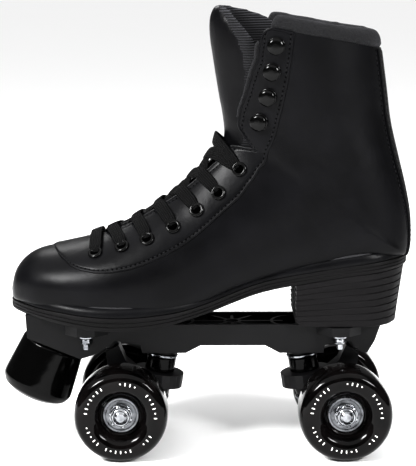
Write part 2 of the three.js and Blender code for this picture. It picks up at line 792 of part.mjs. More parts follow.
function tongueShape() {
  const rows = range(tongueRows[0], tongueRows[1], 12);
  const turnsAt = (row) => {
    const edge = turnAcross(row, between(tongueHalf, row), tongueInset);
    return [edge, 2 * Math.PI - edge];
  };
  return lastPatch(rows, turnsAt, [tongueInset, tongueInset + tongueThickness], 6);
}

const collarRows = [17.3, 19.45];

function collarShape() {
  const turnsAt = (row) => {
    const edge = turnAcross(row, between(throat, row) + 0.6);
    return [-edge, edge];
  };
  const inside = solid(lastPatch(range(collarRows[0], collarRows[1], 3), turnsAt,
    [shellWall + softGap, shellWall + softGap + collarThickness], 12));
  const over = solid(lastPatch(range(topRow + 0.05, collarRows[1], 1), turnsAt,
    [0.4, shellWall + softGap + 1], 12));
  return geometryOf(inside.add(over));
}

function backstay() {
  const rows = range(12.9, topRow - 0.02, 5);
  const turnsAt = (row) => {
    const section = lastRow(row);
    const edge = Math.asin((backstayHalfWidth / section.half) ** (section.low / 2));
    return [-edge, edge];
  };
  return solid(lastPatch(rows, turnsAt, [-backstayThickness, 1], 3));
}

// the place and outward direction of the surface beside a point given in side view
function onSurface(x, z, side, row0) {
  let best = null;
  for (const row of range(row0 - 3, row0 + 3, 60)) {
    for (const turn of range(Math.PI * 0.3, Math.PI * 0.98, 70)) {
      const p = lastPoint(row, side * turn, 0);
      const miss = Math.hypot(p.x - x, p.z - z);
      if (best === null || miss < best.miss) {
        best = { miss, row, turn: side * turn, p };
      }
    }
  }
  return best;
}

function surfaceNormal(row, turn) {
  const e = 0.02;
  const du = lastPoint(row + e, turn, 0).sub(lastPoint(row - e, turn, 0));
  const dv = lastPoint(row, turn + e, 0).sub(lastPoint(row, turn - e, 0));
  const normal = du.cross(dv).normalize();
  const inside = lastPoint(row, turn, 2).sub(lastPoint(row, turn, 0));
  return normal.dot(inside) > 0 ? normal.negate() : normal;
}

// eyelets up the throat and hooks above them, in side view with heights above the deck
const eyeletSpots = [[-85, 46.5], [-68.5, 51], [-53, 56], [-37, 63.5], [-22.5, 73.5], [-9, 84], [4, 98.5]];
const hookSpots = [[16, 128], [21, 143.5], [23.3, 159], [25.6, 174.6]];

function fittingFrames(spots, firstRow, rowStep, side) {
  return spots.map(([x, z], i) => {
    const hit = onSurface(x * lengthwise, deckTop + z * upwards, side, firstRow + i * rowStep);
    return { ...hit, normal: surfaceNormal(hit.row, hit.turn) };
  });
}

const sides = [['left', -1], ['right', 1]];
const eyeletFrames = Object.fromEntries(sides.map(([name, side]) =>
  [name, fittingFrames(eyeletSpots, 5.5, 0.95, side)]));
const hookFrames = Object.fromEntries(sides.map(([name, side]) =>
  [name, fittingFrames(hookSpots, 14.5, 1.1, side)]));

function eyeletSolid({ p, normal }) {
  return solid(along(disc(eyeletRadius, -0.8, eyeletHeight, 8), p, normal));
}

// ---- sole, heel and insole ----
const soleOutline = [
  [-140.5, 6], [-136.5, -9], [-123, -26], [-101, -39.5], [-72, -45.5], [-42, -41], [-12, -32.5],
  [20, -28.5], [55, -29.5], [85, -29.5], [101, -21], [108.6, -9],
  [110, 0], [108.6, 9], [101, 21], [85, 29.5], [55, 28.5],
  [20, 26.5], [-12, 29.5], [-42, 37], [-72, 43.5], [-101, 41.5], [-123, 33.5], [-136.5, 20],
];
const soleTopLine = [
  [-142, 13.3], [-132, 13.1], [-119, 11.8], [-106, 11], [-96, 10], [-80, 9.1], [-64, 9.1],
  [-48, 9.9], [-32, 11.8], [-16, 16], [0, 22], [16, 27.6], [35, 32], [68, 37.8], [92, 41], [112, 43],
];
const ballMiddle = -74;
const ballReach = 45;

function soleOutlinePoints(grow) {
  const curve = new THREE.CatmullRomCurve3(
    soleOutline.map(([x, y]) => new THREE.Vector3(x * lengthwise, y, 0)), true, 'catmullrom', 0.5);
  const middle = new THREE.Vector3(-15, 0, 0);
  return curve.getPoints(48).slice(1).map((p) => {
    const out = p.clone().sub(middle).setLength(grow);
    return [p.x + out.x, p.y + out.y];
  });
}

function soleTopPoints() {
  return smooth(soleTopLine, 26).map(([x, z]) => [x * lengthwise, deckTop + gap + z * upwards]);
}

function soleUnderPoints() {
  return soleTopPoints().map(([x, z]) => {
    const away = (x - ballMiddle * lengthwise) / ballReach;
    const thick = soleEdge + soleBall * Math.max(0, 1 - away * away);
    return [x, Math.max(z - thick, deckTop + gap)];
  });
}

function soleShape(spots) {
  const band = solid(sideBlock([...soleTopPoints(), ...soleUnderPoints().reverse()], -70, 70));
  const plan = solid(planBlock(soleOutlinePoints(0), deckTop - 5, deckTop + 90));
  return geometryOf(cut(band.intersect(plan), spots.map((spot) => boltHole(spot))));
}

const heelFront = 37.5;
const heelBackFoot = 102;

function heelShape(spots) {
  const under = soleUnderPoints().map(([x, z]) => [x, z - gap]);
  const front = heelFront * lengthwise;
  const top = under.filter(([x]) => x > front + 1);
  const foot = deckTop + gap;
  const outline = [[front - 0.8, between(under, front - 0.8)], ...top, [heelBackFoot * lengthwise, foot],
    [front + 7.5, foot], [front + 1.4, foot + 6]];
  const block = solid(sideBlock(outline, -70, 70));
  const plan = solid(planBlock(soleOutlinePoints(-1.5), deckTop - 5, deckTop + 90));
  return geometryOf(cut(block.intersect(plan), spots.map((spot) => boltHole(spot))));
}

function boltHole({ x, y, end }) {
  const top = end === 'rear' ? deckTop + studReach + boreGap : floorHeight(x) + 2;
  return solid(upright(boltRadius + boreGap, x, y, deckTop - 30, top, 12));
}

// height of the leather's inner floor above a place, where a bolt's head sits
function floorHeight(x) {
  return between(soleTopPoints(), x) + gap + shellWall;
}

function cavityBody(inset, steps, around) {
  return solid(lastBody(0.7, lastRows.length - 1, inset, steps, around));
}

function headPocket({ x, y }, clearance) {
  const seat = floorHeight(x) - boltHeadHeight;
  return solid(upright(boltHeadRadius + clearance, x, y, seat - clearance,
    seat + boltHeadHeight + 4, 14));
}

function upperShape(spots) {
  const skin = solid(lastBody(0, topRow, 0, 24, 24));
  const cavity = cavityBody(shellWall, 18, 20);
  const slotRows = [throatStart, 5.7, 6.8, 8, 10, 12, 14, 16, 17.5, topRow, 19.8];
  const slot = solid(lastPatch(slotRows, throatTurns, [-4, shellWall + 4], 4));
  const eyelets = sides.flatMap(([name]) => eyeletFrames[name]);
  const shell = cut(skin.add(backstay()), [cavity, slot]);
  const fitted = joined([shell, ...eyelets.map(eyeletSolid)]);
  const floor = soleTopPoints().map(([x, z]) => [x, z + gap]);
  const soleClear = solid(sideBlock([...floor, [200, floor.at(-1)[1]], [200, deckTop - 9],
    [-200, deckTop - 9], [-200, floor[0][1]]], -70, 70));
  const tools = [soleClear, ...spots.map(boltHole), ...spots.map((spot) => headPocket(spot, gap))];
  return geometryOf(largest(cut(fitted, tools)));
}

function largest(body) {
  const pieces = body.decompose();
  return pieces.reduce((big, piece) => (piece.volume() > big.volume() ? piece : big));
}

function insoleShape(spots) {
  const line = soleTopPoints().map(([x, z]) => [x, z + gap + shellWall + gap]);
  const lid = line.map(([x, z]) => [x, z + insoleThickness]).reverse();
  const band = solid(sideBlock([...line, ...lid], -60, 60));
  const room = cavityBody(shellWall + 1.2, 16, 14);
  const tools = spots.map((spot) => headPocket(spot, 0.6));
  return geometryOf(largest(cut(band.intersect(room), tools)));
}

function mountBoltShape({ x, y, end }) {
  if (end === 'rear') {
    return closed(upright(boltRadius, x, y, deckTop - boltTail, deckTop + studReach, 12));
  }
  const seat = floorHeight(x) - boltHeadHeight;
  const shaft = solid(upright(boltRadius, x, y, deckTop - boltTail, seat + 0.5, 12));
  const head = solid(upright(boltHeadRadius, x, y, seat, seat + boltHeadHeight, 14));
  return geometryOf(shaft.add(head));
}

// nut with its own washer face, under the plate's flange
function mountNutShape({ x, y }) {
  const top = deckTop - flangeThickness - gap;
  const washer = solid(upright(mountWasherRadius, x, y, top - mountWasherThickness, top, 18));
  const nut = solid(upright(mountNutFlats / Math.sqrt(3), x, y,
    top - mountWasherThickness - mountNutHeight, top, 6));
  const hole = solid(upright(boltRadius + boreGap, x, y, top - 20, top + 1, 12));
  return geometryOf(cut(washer.add(nut), [hole]));
}

// ---- laces ----
// flat ribbon through points, its broad side facing along the given directions
function ribbon(points, normals, width, thickness) {
  const rows = points.map((p, i) => {
    const before = points[Math.max(0, i - 1)];
    const after = points[Math.min(points.length - 1, i + 1)];
    const forward = after.clone().sub(before).normalize();
    const across = forward.clone().cross(normals[i]).normalize().multiplyScalar(width / 2);
    const up = normals[i].clone().multiplyScalar(thickness / 2);
    return [[1, 1], [1, -1], [-1, -1], [-1, 1]].map(([a, b]) =>
      p.clone().addScaledVector(across, a).addScaledVector(up, b));
  });
  return loftStrip(rows);
}

// one crossing from an eyelet over the throat to the other side's next eyelet
function laceStrand(from, to, lift) {
  const steps = 5;
  const points = [];
  const normals = [];
  const full = 2 * Math.PI;
  const turnFrom = (from.turn + full) % full;
  const turnTo = (to.turn + full) % full;
  for (const t of range(0, 1, steps)) {
    const row = from.row + (to.row - from.row) * t;
    const turn = turnFrom + (turnTo - turnFrom) * t;
    const normal = surfaceNormal(row, turn);
    const bulge = Math.sin(Math.PI * t) * lift;
    const height = eyeletHeight + softGap + laceThickness / 2 + bulge;
    points.push(lastPoint(row, turn, 0).addScaledVector(normal, height));
    normals.push(normal);
  }
  return solid(ribbon(points, normals, laceWidth, laceThickness));
}

function lacesShape() {
  const { left, right } = eyeletFrames;
  const strands = [laceStrand(left[0], right[0], 0)];
  for (let i = 0; i + 1 < left.length; i += 1) {
    strands.push(laceStrand(left[i], right[i + 1], 0.6));
    strands.push(laceStrand(right[i], left[i + 1], 0));
  }
  strands.push(laceStrand(left[left.length - 1], right[right.length - 1], 0.6));
  return geometryOf(largest(joined(strands)));
}

function hookShape({ p, normal }) {
  const dome = turned([[0, gap], [hookRadius, gap], [hookRadius, 1.5], [2.4, 2.2], [2.4, 3],
    [hookRadius - 0.6, 3.3], [hookRadius - 0.9, hookHeight - 1.2], [2.6, hookHeight],
    [0, hookHeight + 0.2]], 10);
  return along(dome, p, normal);
}

// ---- assembly ----
function addBoot() {
  const spots = boltSpots();
  const [front, rear] = ['front', 'rear'].map((end) => spots.filter((spot) => spot.end === end));
  add(skate, 'baseplate', plateShape(), nylon);
  add(skate, 'toe_stop', stopShape(), blackRubber);
  add(skate, 'toe_stop_bolt', stopBoltShape(), steel);
  for (const spot of spots) {
    add(skate, `mount_bolt_${spot.name}`, mountBoltShape(spot), steel);
    add(skate, `mount_nut_${spot.name}`, mountNutShape(spot), steel);
  }
  add(skate, 'outsole', soleShape(front), soleRubber);
  add(skate, 'heel_stack', heelShape(rear), soleRubber);
  add(skate, 'boot_upper', upperShape(front), leather);
  add(skate, 'insole', insoleShape(front), lining);
  add(skate, 'tongue', tongueShape(), leather);
  add(skate, 'collar', collarShape(), lining);
  add(skate, 'laces', lacesShape(), laceCloth);
  for (const [name] of sides) {
    hookFrames[name].forEach((frame, i) => {
      add(skate, `hook_${name}_${i + 1}`, hookShape(frame), blackMetal);
    });
  }
}

addTruck('front', 1);
addTruck('rear', -1);
addBoot();

// origin at the middle of the footprint, on the ground
const extent = new THREE.Box3().setFromObject(skate);
skate.position.set(-(extent.min.x + extent.max.x) / 2, 0, -extent.min.z);

export default skate;
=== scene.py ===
import math

import bmesh
import bpy
import numpy as np
from mathutils import Matrix, Vector
from mathutils.kdtree import KDTree

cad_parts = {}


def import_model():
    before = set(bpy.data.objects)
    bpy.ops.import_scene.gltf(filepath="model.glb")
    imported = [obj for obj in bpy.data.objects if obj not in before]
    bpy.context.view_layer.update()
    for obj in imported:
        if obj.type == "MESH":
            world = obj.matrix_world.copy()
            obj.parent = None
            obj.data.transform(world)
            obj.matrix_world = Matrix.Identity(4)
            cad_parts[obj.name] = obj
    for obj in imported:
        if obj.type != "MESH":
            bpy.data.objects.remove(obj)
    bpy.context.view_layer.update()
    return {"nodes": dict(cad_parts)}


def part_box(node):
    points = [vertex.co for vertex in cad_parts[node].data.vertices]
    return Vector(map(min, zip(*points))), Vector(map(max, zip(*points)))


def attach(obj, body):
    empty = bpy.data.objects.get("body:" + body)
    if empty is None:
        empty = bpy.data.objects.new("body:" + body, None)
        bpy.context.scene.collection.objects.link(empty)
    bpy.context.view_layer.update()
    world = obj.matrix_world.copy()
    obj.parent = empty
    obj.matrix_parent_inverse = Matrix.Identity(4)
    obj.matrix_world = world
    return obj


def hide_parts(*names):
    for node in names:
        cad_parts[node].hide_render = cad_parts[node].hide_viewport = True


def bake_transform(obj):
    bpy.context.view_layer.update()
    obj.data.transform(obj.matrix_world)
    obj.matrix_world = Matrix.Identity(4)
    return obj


# A left quad roller skate. Lengths are millimetres, x = 0 midway between the axles, toe towards -x,
# outer side towards -y, ground at z = 0, and world() turns them into the frame's metres.

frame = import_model()


def middleOf(node):
    low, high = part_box(node)
    return (low + high) / 2 * 1000


frontAxle = middleOf("axle_front")
rearAxle = middleOf("axle_rear")
skate = {
    "shift": (frontAxle.x + rearAxle.x) / 2,  # from the middle between the axles to the frame's origin
    "deck": 80.6,  # height of the plate's top
    "sheetGap": 0.3,  # between the soles' pieces
}
deck = skate["deck"]


def world(point):
    return ((point[0] + skate["shift"]) / 1000, point[1] / 1000, point[2] / 1000)


def linear(hexText):
    values = [int(hexText[i : i + 2], 16) / 255 for i in (1, 3, 5)]
    return [v / 12.92 if v <= 0.04045 else ((v + 0.055) / 1.055) ** 2.4 for v in values] + [1]


def addNode(tree, kind, settings=None, links=None):
    # one node, its sockets set by name and linked from (node, output) pairs
    node = tree.nodes.new(kind)
    for key, value in (settings or {}).items():
        if key in node.inputs:
            node.inputs[key].default_value = value
        else:
            setattr(node, key, value)
    for key, (source, output) in (links or {}).items():
        tree.links.new(source.outputs[output], node.inputs[key])
    return node


def newMaterial(name, base, roughness, metallic=0.0, **more):
    # a material, its tree and its shader, with the shader's plain sockets set
    made = bpy.data.materials.new(name)
    made.use_nodes = True
    tree = made.node_tree
    shader = next(n for n in tree.nodes if n.type == "BSDF_PRINCIPLED")
    values = {"Base Color": linear(base), "Roughness": roughness, "Metallic": metallic, **more}
    for socket, value in values.items():
        shader.inputs[socket].default_value = value
    return made, tree, shader


bandFactor = 3.2  # bands that a wave texture shows in one unit of its scale


def places(tree, kind="Object"):
    return addNode(tree, "ShaderNodeTexCoord"), kind


def noiseAt(tree, sizeMm, detail=3.0, stretch=(1, 1, 1), roughness=0.55):
    # noise whose blotches are about sizeMm across, stretched along an axis where its factor is small
    spot = addNode(tree, "ShaderNodeMapping", {"Scale": stretch}, {"Vector": places(tree)})
    return addNode(tree, "ShaderNodeTexNoise",
                   {"Scale": 1000 / sizeMm, "Detail": detail, "Roughness": roughness},
                   {"Vector": (spot, "Vector")})


def raised(tree, height, depthMm, below=None):
    # bump whose full height is depthMm
    links = {"Height": height}
    if below:
        links["Normal"] = (below, "Normal")
    return addNode(tree, "ShaderNodeBump", {"Distance": depthMm / 1000, "Strength": 1.0}, links)


def mixed(tree, factor, dark, light, low=0.35, high=0.65):
    ramp = addNode(tree, "ShaderNodeValToRGB", {}, {"Fac": factor})
    ramp.color_ramp.elements[0].position = low
    ramp.color_ramp.elements[0].color = linear(dark)
    ramp.color_ramp.elements[1].position = high
    ramp.color_ramp.elements[1].color = linear(light)
    return ramp


def spread(tree, factor, low, high):
    return addNode(tree, "ShaderNodeMapRange", {"To Min": low, "To Max": high}, {"Value": factor})


def finishWith(tree, shader, colour=None, roughness=None, normal=None):
    for socket, source in (("Base Color", colour), ("Roughness", roughness), ("Normal", normal)):
        if source:
            name = {"ShaderNodeValToRGB": "Color", "ShaderNodeMapRange": "Result",
                    "ShaderNodeBump": "Normal"}[source.bl_idname]
            tree.links.new(source.outputs[name], shader.inputs[socket])


def coatedLeather():
    # polyurethane-coated split leather, plated smooth: a soft even shine over a fine pebble grain
    made, tree, shader = newMaterial("coatedLeather", "#0d0d0f", 0.42,
                                     **{"Specular IOR Level": 0.08, "Coat Weight": 0.02,
                                        "Coat Roughness": 0.3})
    grain = addNode(tree, "ShaderNodeTexVoronoi", {"feature": "DISTANCE_TO_EDGE", "Scale": 1000 / 0.9},
                    {"Vector": places(tree)})
    patches = noiseAt(tree, 26, 4)
    creases = noiseAt(tree, 9, 2)
    fine = raised(tree, (grain, "Distance"), 0.07)
    soft = raised(tree, (creases, "Fac"), 0.22, fine)
    finishWith(tree, shader, mixed(tree, (patches, "Fac"), "#050506", "#09090b"),
               spread(tree, (patches, "Fac"), 0.27, 0.4), soft)
    return made


def fleece():
    # brushed polyester lining knit: no shine, short nap that catches light at its edge
    made, tree, shader = newMaterial("fleece", "#1c1c1d", 1.0,
                                     **{"Sheen Weight": 0.22, "Sheen Roughness": 0.6,
                                        "Sheen Tint": linear("#77777c"), "Specular IOR Level": 0.2})
    nap = noiseAt(tree, 0.8, 2)
    tufts = noiseAt(tree, 3.2, 3)
    finishWith(tree, shader, mixed(tree, (nap, "Fac"), "#0a0a0b", "#161617"), None,
               raised(tree, (nap, "Fac"), 0.5, raised(tree, (tufts, "Fac"), 0.5)))
    return made


def ribKnit(direction="Z", pitchMm=1.5):
    # rib-knit polyester: rounded ribs 1.5 mm apart with the loops showing as a fine cross texture
    made, tree, shader = newMaterial("ribKnit", "#1a1a1b", 0.95,
                                     **{"Sheen Weight": 0.4, "Sheen Tint": linear("#6a6a70"),
                                        "Specular IOR Level": 0.2})
    ribs = addNode(tree, "ShaderNodeTexWave",
                   {"bands_direction": direction, "Scale": 1000 / pitchMm / bandFactor},
                   {"Vector": places(tree)})
    loops = noiseAt(tree, 0.7, 2)
    # the colour runs near black in the valleys between the ribs: painted shade
    finishWith(tree, shader, mixed(tree, (ribs, "Fac"), "#030303", "#1d1d1f", 0.25, 0.8), None,
               raised(tree, (ribs, "Fac"), 0.6, raised(tree, (loops, "Fac"), 0.25)))
    return made


def wovenTape():
    # narrow polyester webbing: diagonal twill, drawn nearly 2 mm from rib to rib so that it shows
    made, tree, shader = newMaterial("wovenTape", "#19191a", 0.85,
                                     **{"Sheen Weight": 0.05, "Specular IOR Level": 0.15})
    twill = addNode(tree, "ShaderNodeTexWave",
                    {"bands_direction": "DIAGONAL", "Scale": 1000 / 1.6 / bandFactor},
                    {"Vector": places(tree)})
    # near black between the twill's ribs: painted shade
    finishWith(tree, shader, mixed(tree, (twill, "Fac"), "#040404", "#121213", 0.2, 0.8), None,
               raised(tree, (twill, "Fac"), 0.35))
    return made


def flatLace():
    # braided polyester: cords run lengthwise, six across, over a twist finer than half a millimetre
    made, tree, shader = newMaterial("flatLace", "#1b1b1c", 0.7,
                                     **{"Specular IOR Level": 0.1})
    cords = addNode(tree, "ShaderNodeTexWave", {"bands_direction": "X", "Scale": 6 / bandFactor},
                    {"Vector": places(tree, "UV")})
    twist = addNode(tree, "ShaderNodeTexWave", {"bands_direction": "DIAGONAL", "Scale": 14.0},
                    {"Vector": places(tree, "UV")})
    # near black between the cords: painted shade
    finishWith(tree, shader, mixed(tree, (cords, "Fac"), "#010101", "#0d0d0e", 0.35, 0.85), None,
               raised(tree, (cords, "Fac"), 0.8, raised(tree, (twist, "Fac"), 0.2)))
    return made


def soleRubber(name="soleRubber", base="#060606", light="#0b0a0b"):
    # moulded thermoplastic rubber: dull, slightly dusty, with a fine matt skin
    made, tree, shader = newMaterial(name, base, 0.55, **{"Specular IOR Level": 0.1})
    skin = noiseAt(tree, 0.7, 2)
    streaks = noiseAt(tree, 14, 3, (0.25, 0.25, 3))
    finishWith(tree, shader, mixed(tree, (streaks, "Fac"), base, light),
               spread(tree, (streaks, "Fac"), 0.45, 0.62), raised(tree, (skin, "Fac"), 0.05))
    return made


def mouldedNylon():
    # glass-filled nylon from a spark-eroded mould: an even satin black with a fine sandy skin
    made, tree, shader = newMaterial("mouldedNylon", "#0e0e0f", 0.4, **{"Specular IOR Level": 0.16})
    sand = noiseAt(tree, 0.5, 2)
    flow = noiseAt(tree, 22, 3)
    finishWith(tree, shader, mixed(tree, (flow, "Fac"), "#050506", "#09090a"),
               spread(tree, (flow, "Fac"), 0.36, 0.5), raised(tree, (sand, "Fac"), 0.05))
    return made


def castUrethane():
    # smoke-tinted polyurethane, cast and turned: nearly black, with a trace of brown under a wet gloss
    made, tree, shader = newMaterial("castUrethane", "#070606", 0.06,
                                     **{"IOR": 1.5, "Transmission Weight": 0.02, "Specular IOR Level": 0.13})
    swirl = noiseAt(tree, 12, 3)
    turning = noiseAt(tree, 1.2, 1, (1, 6, 1))
    finishWith(tree, shader, mixed(tree, (swirl, "Fac"), "#010101", "#080606"), None,
               raised(tree, (turning, "Fac"), 0.008))
    return made


def glossRubber():
    # rubbery polyurethane, cast in opaque black: wet gloss, faint ripple from the mould
    made, tree, shader = newMaterial("glossRubber", "#020202", 0.08, **{"Specular IOR Level": 0.1})
    ripple = noiseAt(tree, 7, 2)
    dust = noiseAt(tree, 3, 4)
    finishWith(tree, shader, None, spread(tree, (dust, "Fac"), 0.06, 0.2),
               raised(tree, (ripple, "Fac"), 0.12))
    return made


def platedSteel(name="platedSteel", base="#b4b6b8", roughness=0.17, dark="#636569", light="#9fa1a4"):
    # bright zinc on turned steel: cool white metal with hairline tool marks
    made, tree, shader = newMaterial(name, base, roughness, 1.0)
    hair = noiseAt(tree, 0.9, 2, (1, 5, 1))
    tarnish = noiseAt(tree, 5, 3)
    finishWith(tree, shader, mixed(tree, (tarnish, "Fac"), dark, light),
               spread(tree, (tarnish, "Fac"), roughness - 0.08, roughness + 0.1),
               raised(tree, (hair, "Fac"), 0.015))
    return made


def blackEnamel():
    # stoved enamel on brass: opaque black under a hard bright gloss with a slight orange peel
    made, tree, shader = newMaterial("blackEnamel", "#030303", 0.07, **{"Specular IOR Level": 0.15})
    peel = noiseAt(tree, 1.6, 2)
    finishWith(tree, shader, None, spread(tree, (peel, "Fac"), 0.06, 0.16),
               raised(tree, (peel, "Fac"), 0.02))
    return made


def plainFinish(name, base, roughness, grainMm=0.6, depthMm=0.04, **more):
    made, tree, shader = newMaterial(name, base, roughness, **more)
    grain = noiseAt(tree, grainMm, 2)
    finishWith(tree, shader, None, spread(tree, (grain, "Fac"), roughness - 0.06, roughness + 0.06),
               raised(tree, (grain, "Fac"), depthMm))
    return made


leather = coatedLeather()
lining = fleece()
knit = ribKnit()
tape = wovenTape()
laceCloth = flatLace()
rubber = soleRubber()
heelRubber = soleRubber("heelRubber", "#0a090a", "#0f0e0f")
nylon = mouldedNylon()
urethane = castUrethane()
cushionUrethane = glossRubber()
steel = platedSteel()
# the bearings get a darker copy of the plated steel with a rougher finish: the darker colour is painted
# shade of the recess in the wheel's hub
shadedBearingSteel = platedSteel("shadedBearingSteel", "#77797c", 0.28, "#4a4b4e", "#77797c")
enamel = blackEnamel()
# bonded nylon thread, spun and waxed: fine dark cords with hardly any shine
thread = plainFinish("bondedThread", "#08080a", 0.7, 0.4, 0.05, **{"Specular IOR Level": 0.15})
# painted shade: a black disc with no shine stands for the shadow inside each needle punch and each eyelet's
# bore
paintedHoleShade = plainFinish("paintedHoleShade", "#010101", 0.9, **{"Specular IOR Level": 0.0})
# pad-printing ink, pressed on: flat warm white
padPrint = plainFinish("padPrint", "#e9e8e4", 0.5, 0.4, 0.01)
# needled polyester felt on foam: dull and dark, with a rough face
footbed = plainFinish("feltFootbed", "#1c1c1e", 0.95, 0.9, 0.3)
print("materials made")


def addPiece(name, points, faces, materials, body, replaces=(), sharp=42, uvs=None, paint=None):
    # a mesh piece at its place, paint giving each face's material by index
    mesh = bpy.data.meshes.new(name)
    mesh.from_pydata([world(p) for p in points], [], faces)
    materials = materials if isinstance(materials, (list, tuple)) else [materials]
    for one in materials:
        mesh.materials.append(one)
    if paint is not None:
        mesh.polygons.foreach_set("material_index", paint)
    if uvs is not None:
        layer = mesh.uv_layers.new(name="UVMap")
        for loop in mesh.loops:
            layer.data[loop.index].uv = uvs[loop.vertex_index]
    work = bmesh.new()
    work.from_mesh(mesh)
    bmesh.ops.remove_doubles(work, verts=work.verts, dist=2e-6)
    bmesh.ops.recalc_face_normals(work, faces=work.faces)
    work.to_mesh(mesh)
    work.free()
    mesh.polygons.foreach_set("use_smooth", [True] * len(mesh.polygons))
    mesh.set_sharp_from_angle(angle=math.radians(sharp))
    piece = bpy.data.objects.new(name, mesh)
    bpy.context.collection.objects.link(piece)
    if body:
        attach(piece, body)
    if replaces:
        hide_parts(*replaces)
    return piece


class Heap:
    # gathers several shapes into one mesh

    def __init__(self):
        self.points, self.faces, self.paint, self.uvs = [], [], [], []

    def take(self, points, faces, paint=0, uvs=None):
        start = len(self.points)
        self.points += [tuple(p) for p in points]
        self.faces += [[i + start for i in face] for face in faces]
        self.paint += [paint] * len(faces)
        self.uvs += uvs or [(0, 0)] * len(points)
        return self

    def piece(self, name, materials, body, slot, replaces=(), sharp=42, withUvs=False):
        return addPiece(name, self.points, self.faces, materials, body, replaces, sharp,
                        self.uvs if withUvs else None, self.paint)


def gridFaces(rows, columns, aroundRow=False, aroundColumn=False):
    faces = []
    for i in range(rows if aroundRow else rows - 1):
        for j in range(columns if aroundColumn else columns - 1):
            a, b = i * columns + j, i * columns + (j + 1) % columns
            c, d = (i + 1) % rows * columns + (j + 1) % columns, (i + 1) % rows * columns + j
            faces.append([a, b, c, d])
    return faces


def tubeFaces(rows, around):
    # the faces of a closed tube with a flat end at either side
    ends = [list(range(around))[::-1], [(rows - 1) * around + k for k in range(around)]]
    return gridFaces(rows, around, False, True) + ends


def eased(profile, radius, closed=True, steps=4):
    # the profile with its corners rounded
    made, count = [], len(profile)
    for i, here in enumerate(profile):
        if not closed and i in (0, count - 1):
            made.append(tuple(here))
            continue
        here, before, after = Vector(here), Vector(profile[i - 1]), Vector(profile[(i + 1) % count])
        reach = min(radius, (before - here).length * 0.45, (after - here).length * 0.45)
        start = here + (before - here).normalized() * reach
        end = here + (after - here).normalized() * reach
        for k in range(steps + 1):
            t = k / steps
            made.append(tuple(start * (1 - t) ** 2 + here * 2 * t * (1 - t) + end * t * t))
    return made


def turned(profile, sides=64, closed=True, squeeze=1.0):
    # a profile of (radius, along) turned about the local Y axis
    points = []
    for i in range(sides):
        angle = 2 * math.pi * i / sides
        for radius, along in profile:
            points.append((radius * math.cos(angle), along, radius * math.sin(angle) * squeeze))
    return points, gridFaces(sides, len(profile), True, closed)


def hexTurned(flats, low, high, bore, chamfer=1.0, steps=16):
    # a hexagon nut along Y, its corners turned off at both ends
    corner = flats / math.sqrt(3)
    shoulder = corner - chamfer * 1.1
    profile = [(bore, low), (flats / 2 - 0.4, low), (shoulder, low), (None, low + chamfer * 0.6),
               (None, high - chamfer * 0.6), (shoulder, high), (flats / 2 - 0.4, high), (bore, high)]
    sides = 6 * steps
    points = []
    for i in range(sides):
        angle = 2 * math.pi * i / sides
        off = (angle + math.pi / 6) % (math.pi / 3) - math.pi / 6
        side = flats / 2 / math.cos(off)
        for radius, along in profile:
            r = side if radius is None else min(radius, side)
            points.append((r * math.cos(angle), along, r * math.sin(angle)))
    return points, gridFaces(sides, len(profile), True, bore > 0)


def placed(shape, origin, direction=(0, 1, 0), spin=0.0):
    # a shape made along Y, turned to a direction and moved to its origin
    points, faces = shape
    turn = Vector((0, 1, 0)).rotation_difference(Vector(direction))
    roll = Matrix.Rotation(spin, 3, "Y")
    return [tuple(turn @ (roll @ Vector(p)) + Vector(origin)) for p in points], faces


def splineAt(points, t, closed=False):
    # Catmull-Rom through the rows of an array, t counted in rows
    points = np.asarray(points, float)
    count = len(points)
    t = np.atleast_1d(np.asarray(t, float))
    first = np.clip(np.floor(t), 0, count - (1 if closed else 2)).astype(int)
    w = (t - first)[:, None]
    if closed:
        p = [points[(first + k) % count] for k in (-1, 0, 1, 2)]
    else:
        longer = np.vstack([2 * points[0] - points[1], points, 2 * points[-1] - points[-2]])
        p = [longer[first + k] for k in (0, 1, 2, 3)]
    return 0.5 * (2 * p[1] + (p[2] - p[0]) * w + (2 * p[0] - 5 * p[1] + 4 * p[2] - p[3]) * w**2
                  + (3 * p[1] - p[0] - 3 * p[2] + p[3]) * w**3)


def fractions(count):
    # the angles of that many even steps round a full turn
    return [2 * math.pi * k / count for k in range(count)]


def softPower(value, power):
    # a power that keeps the value's sign, for rounded oblongs
    return math.copysign(abs(value) ** power, value)


def tableAt(table, key):
    return np.interp(key, [row[0] for row in table], [row[1] for row in table])


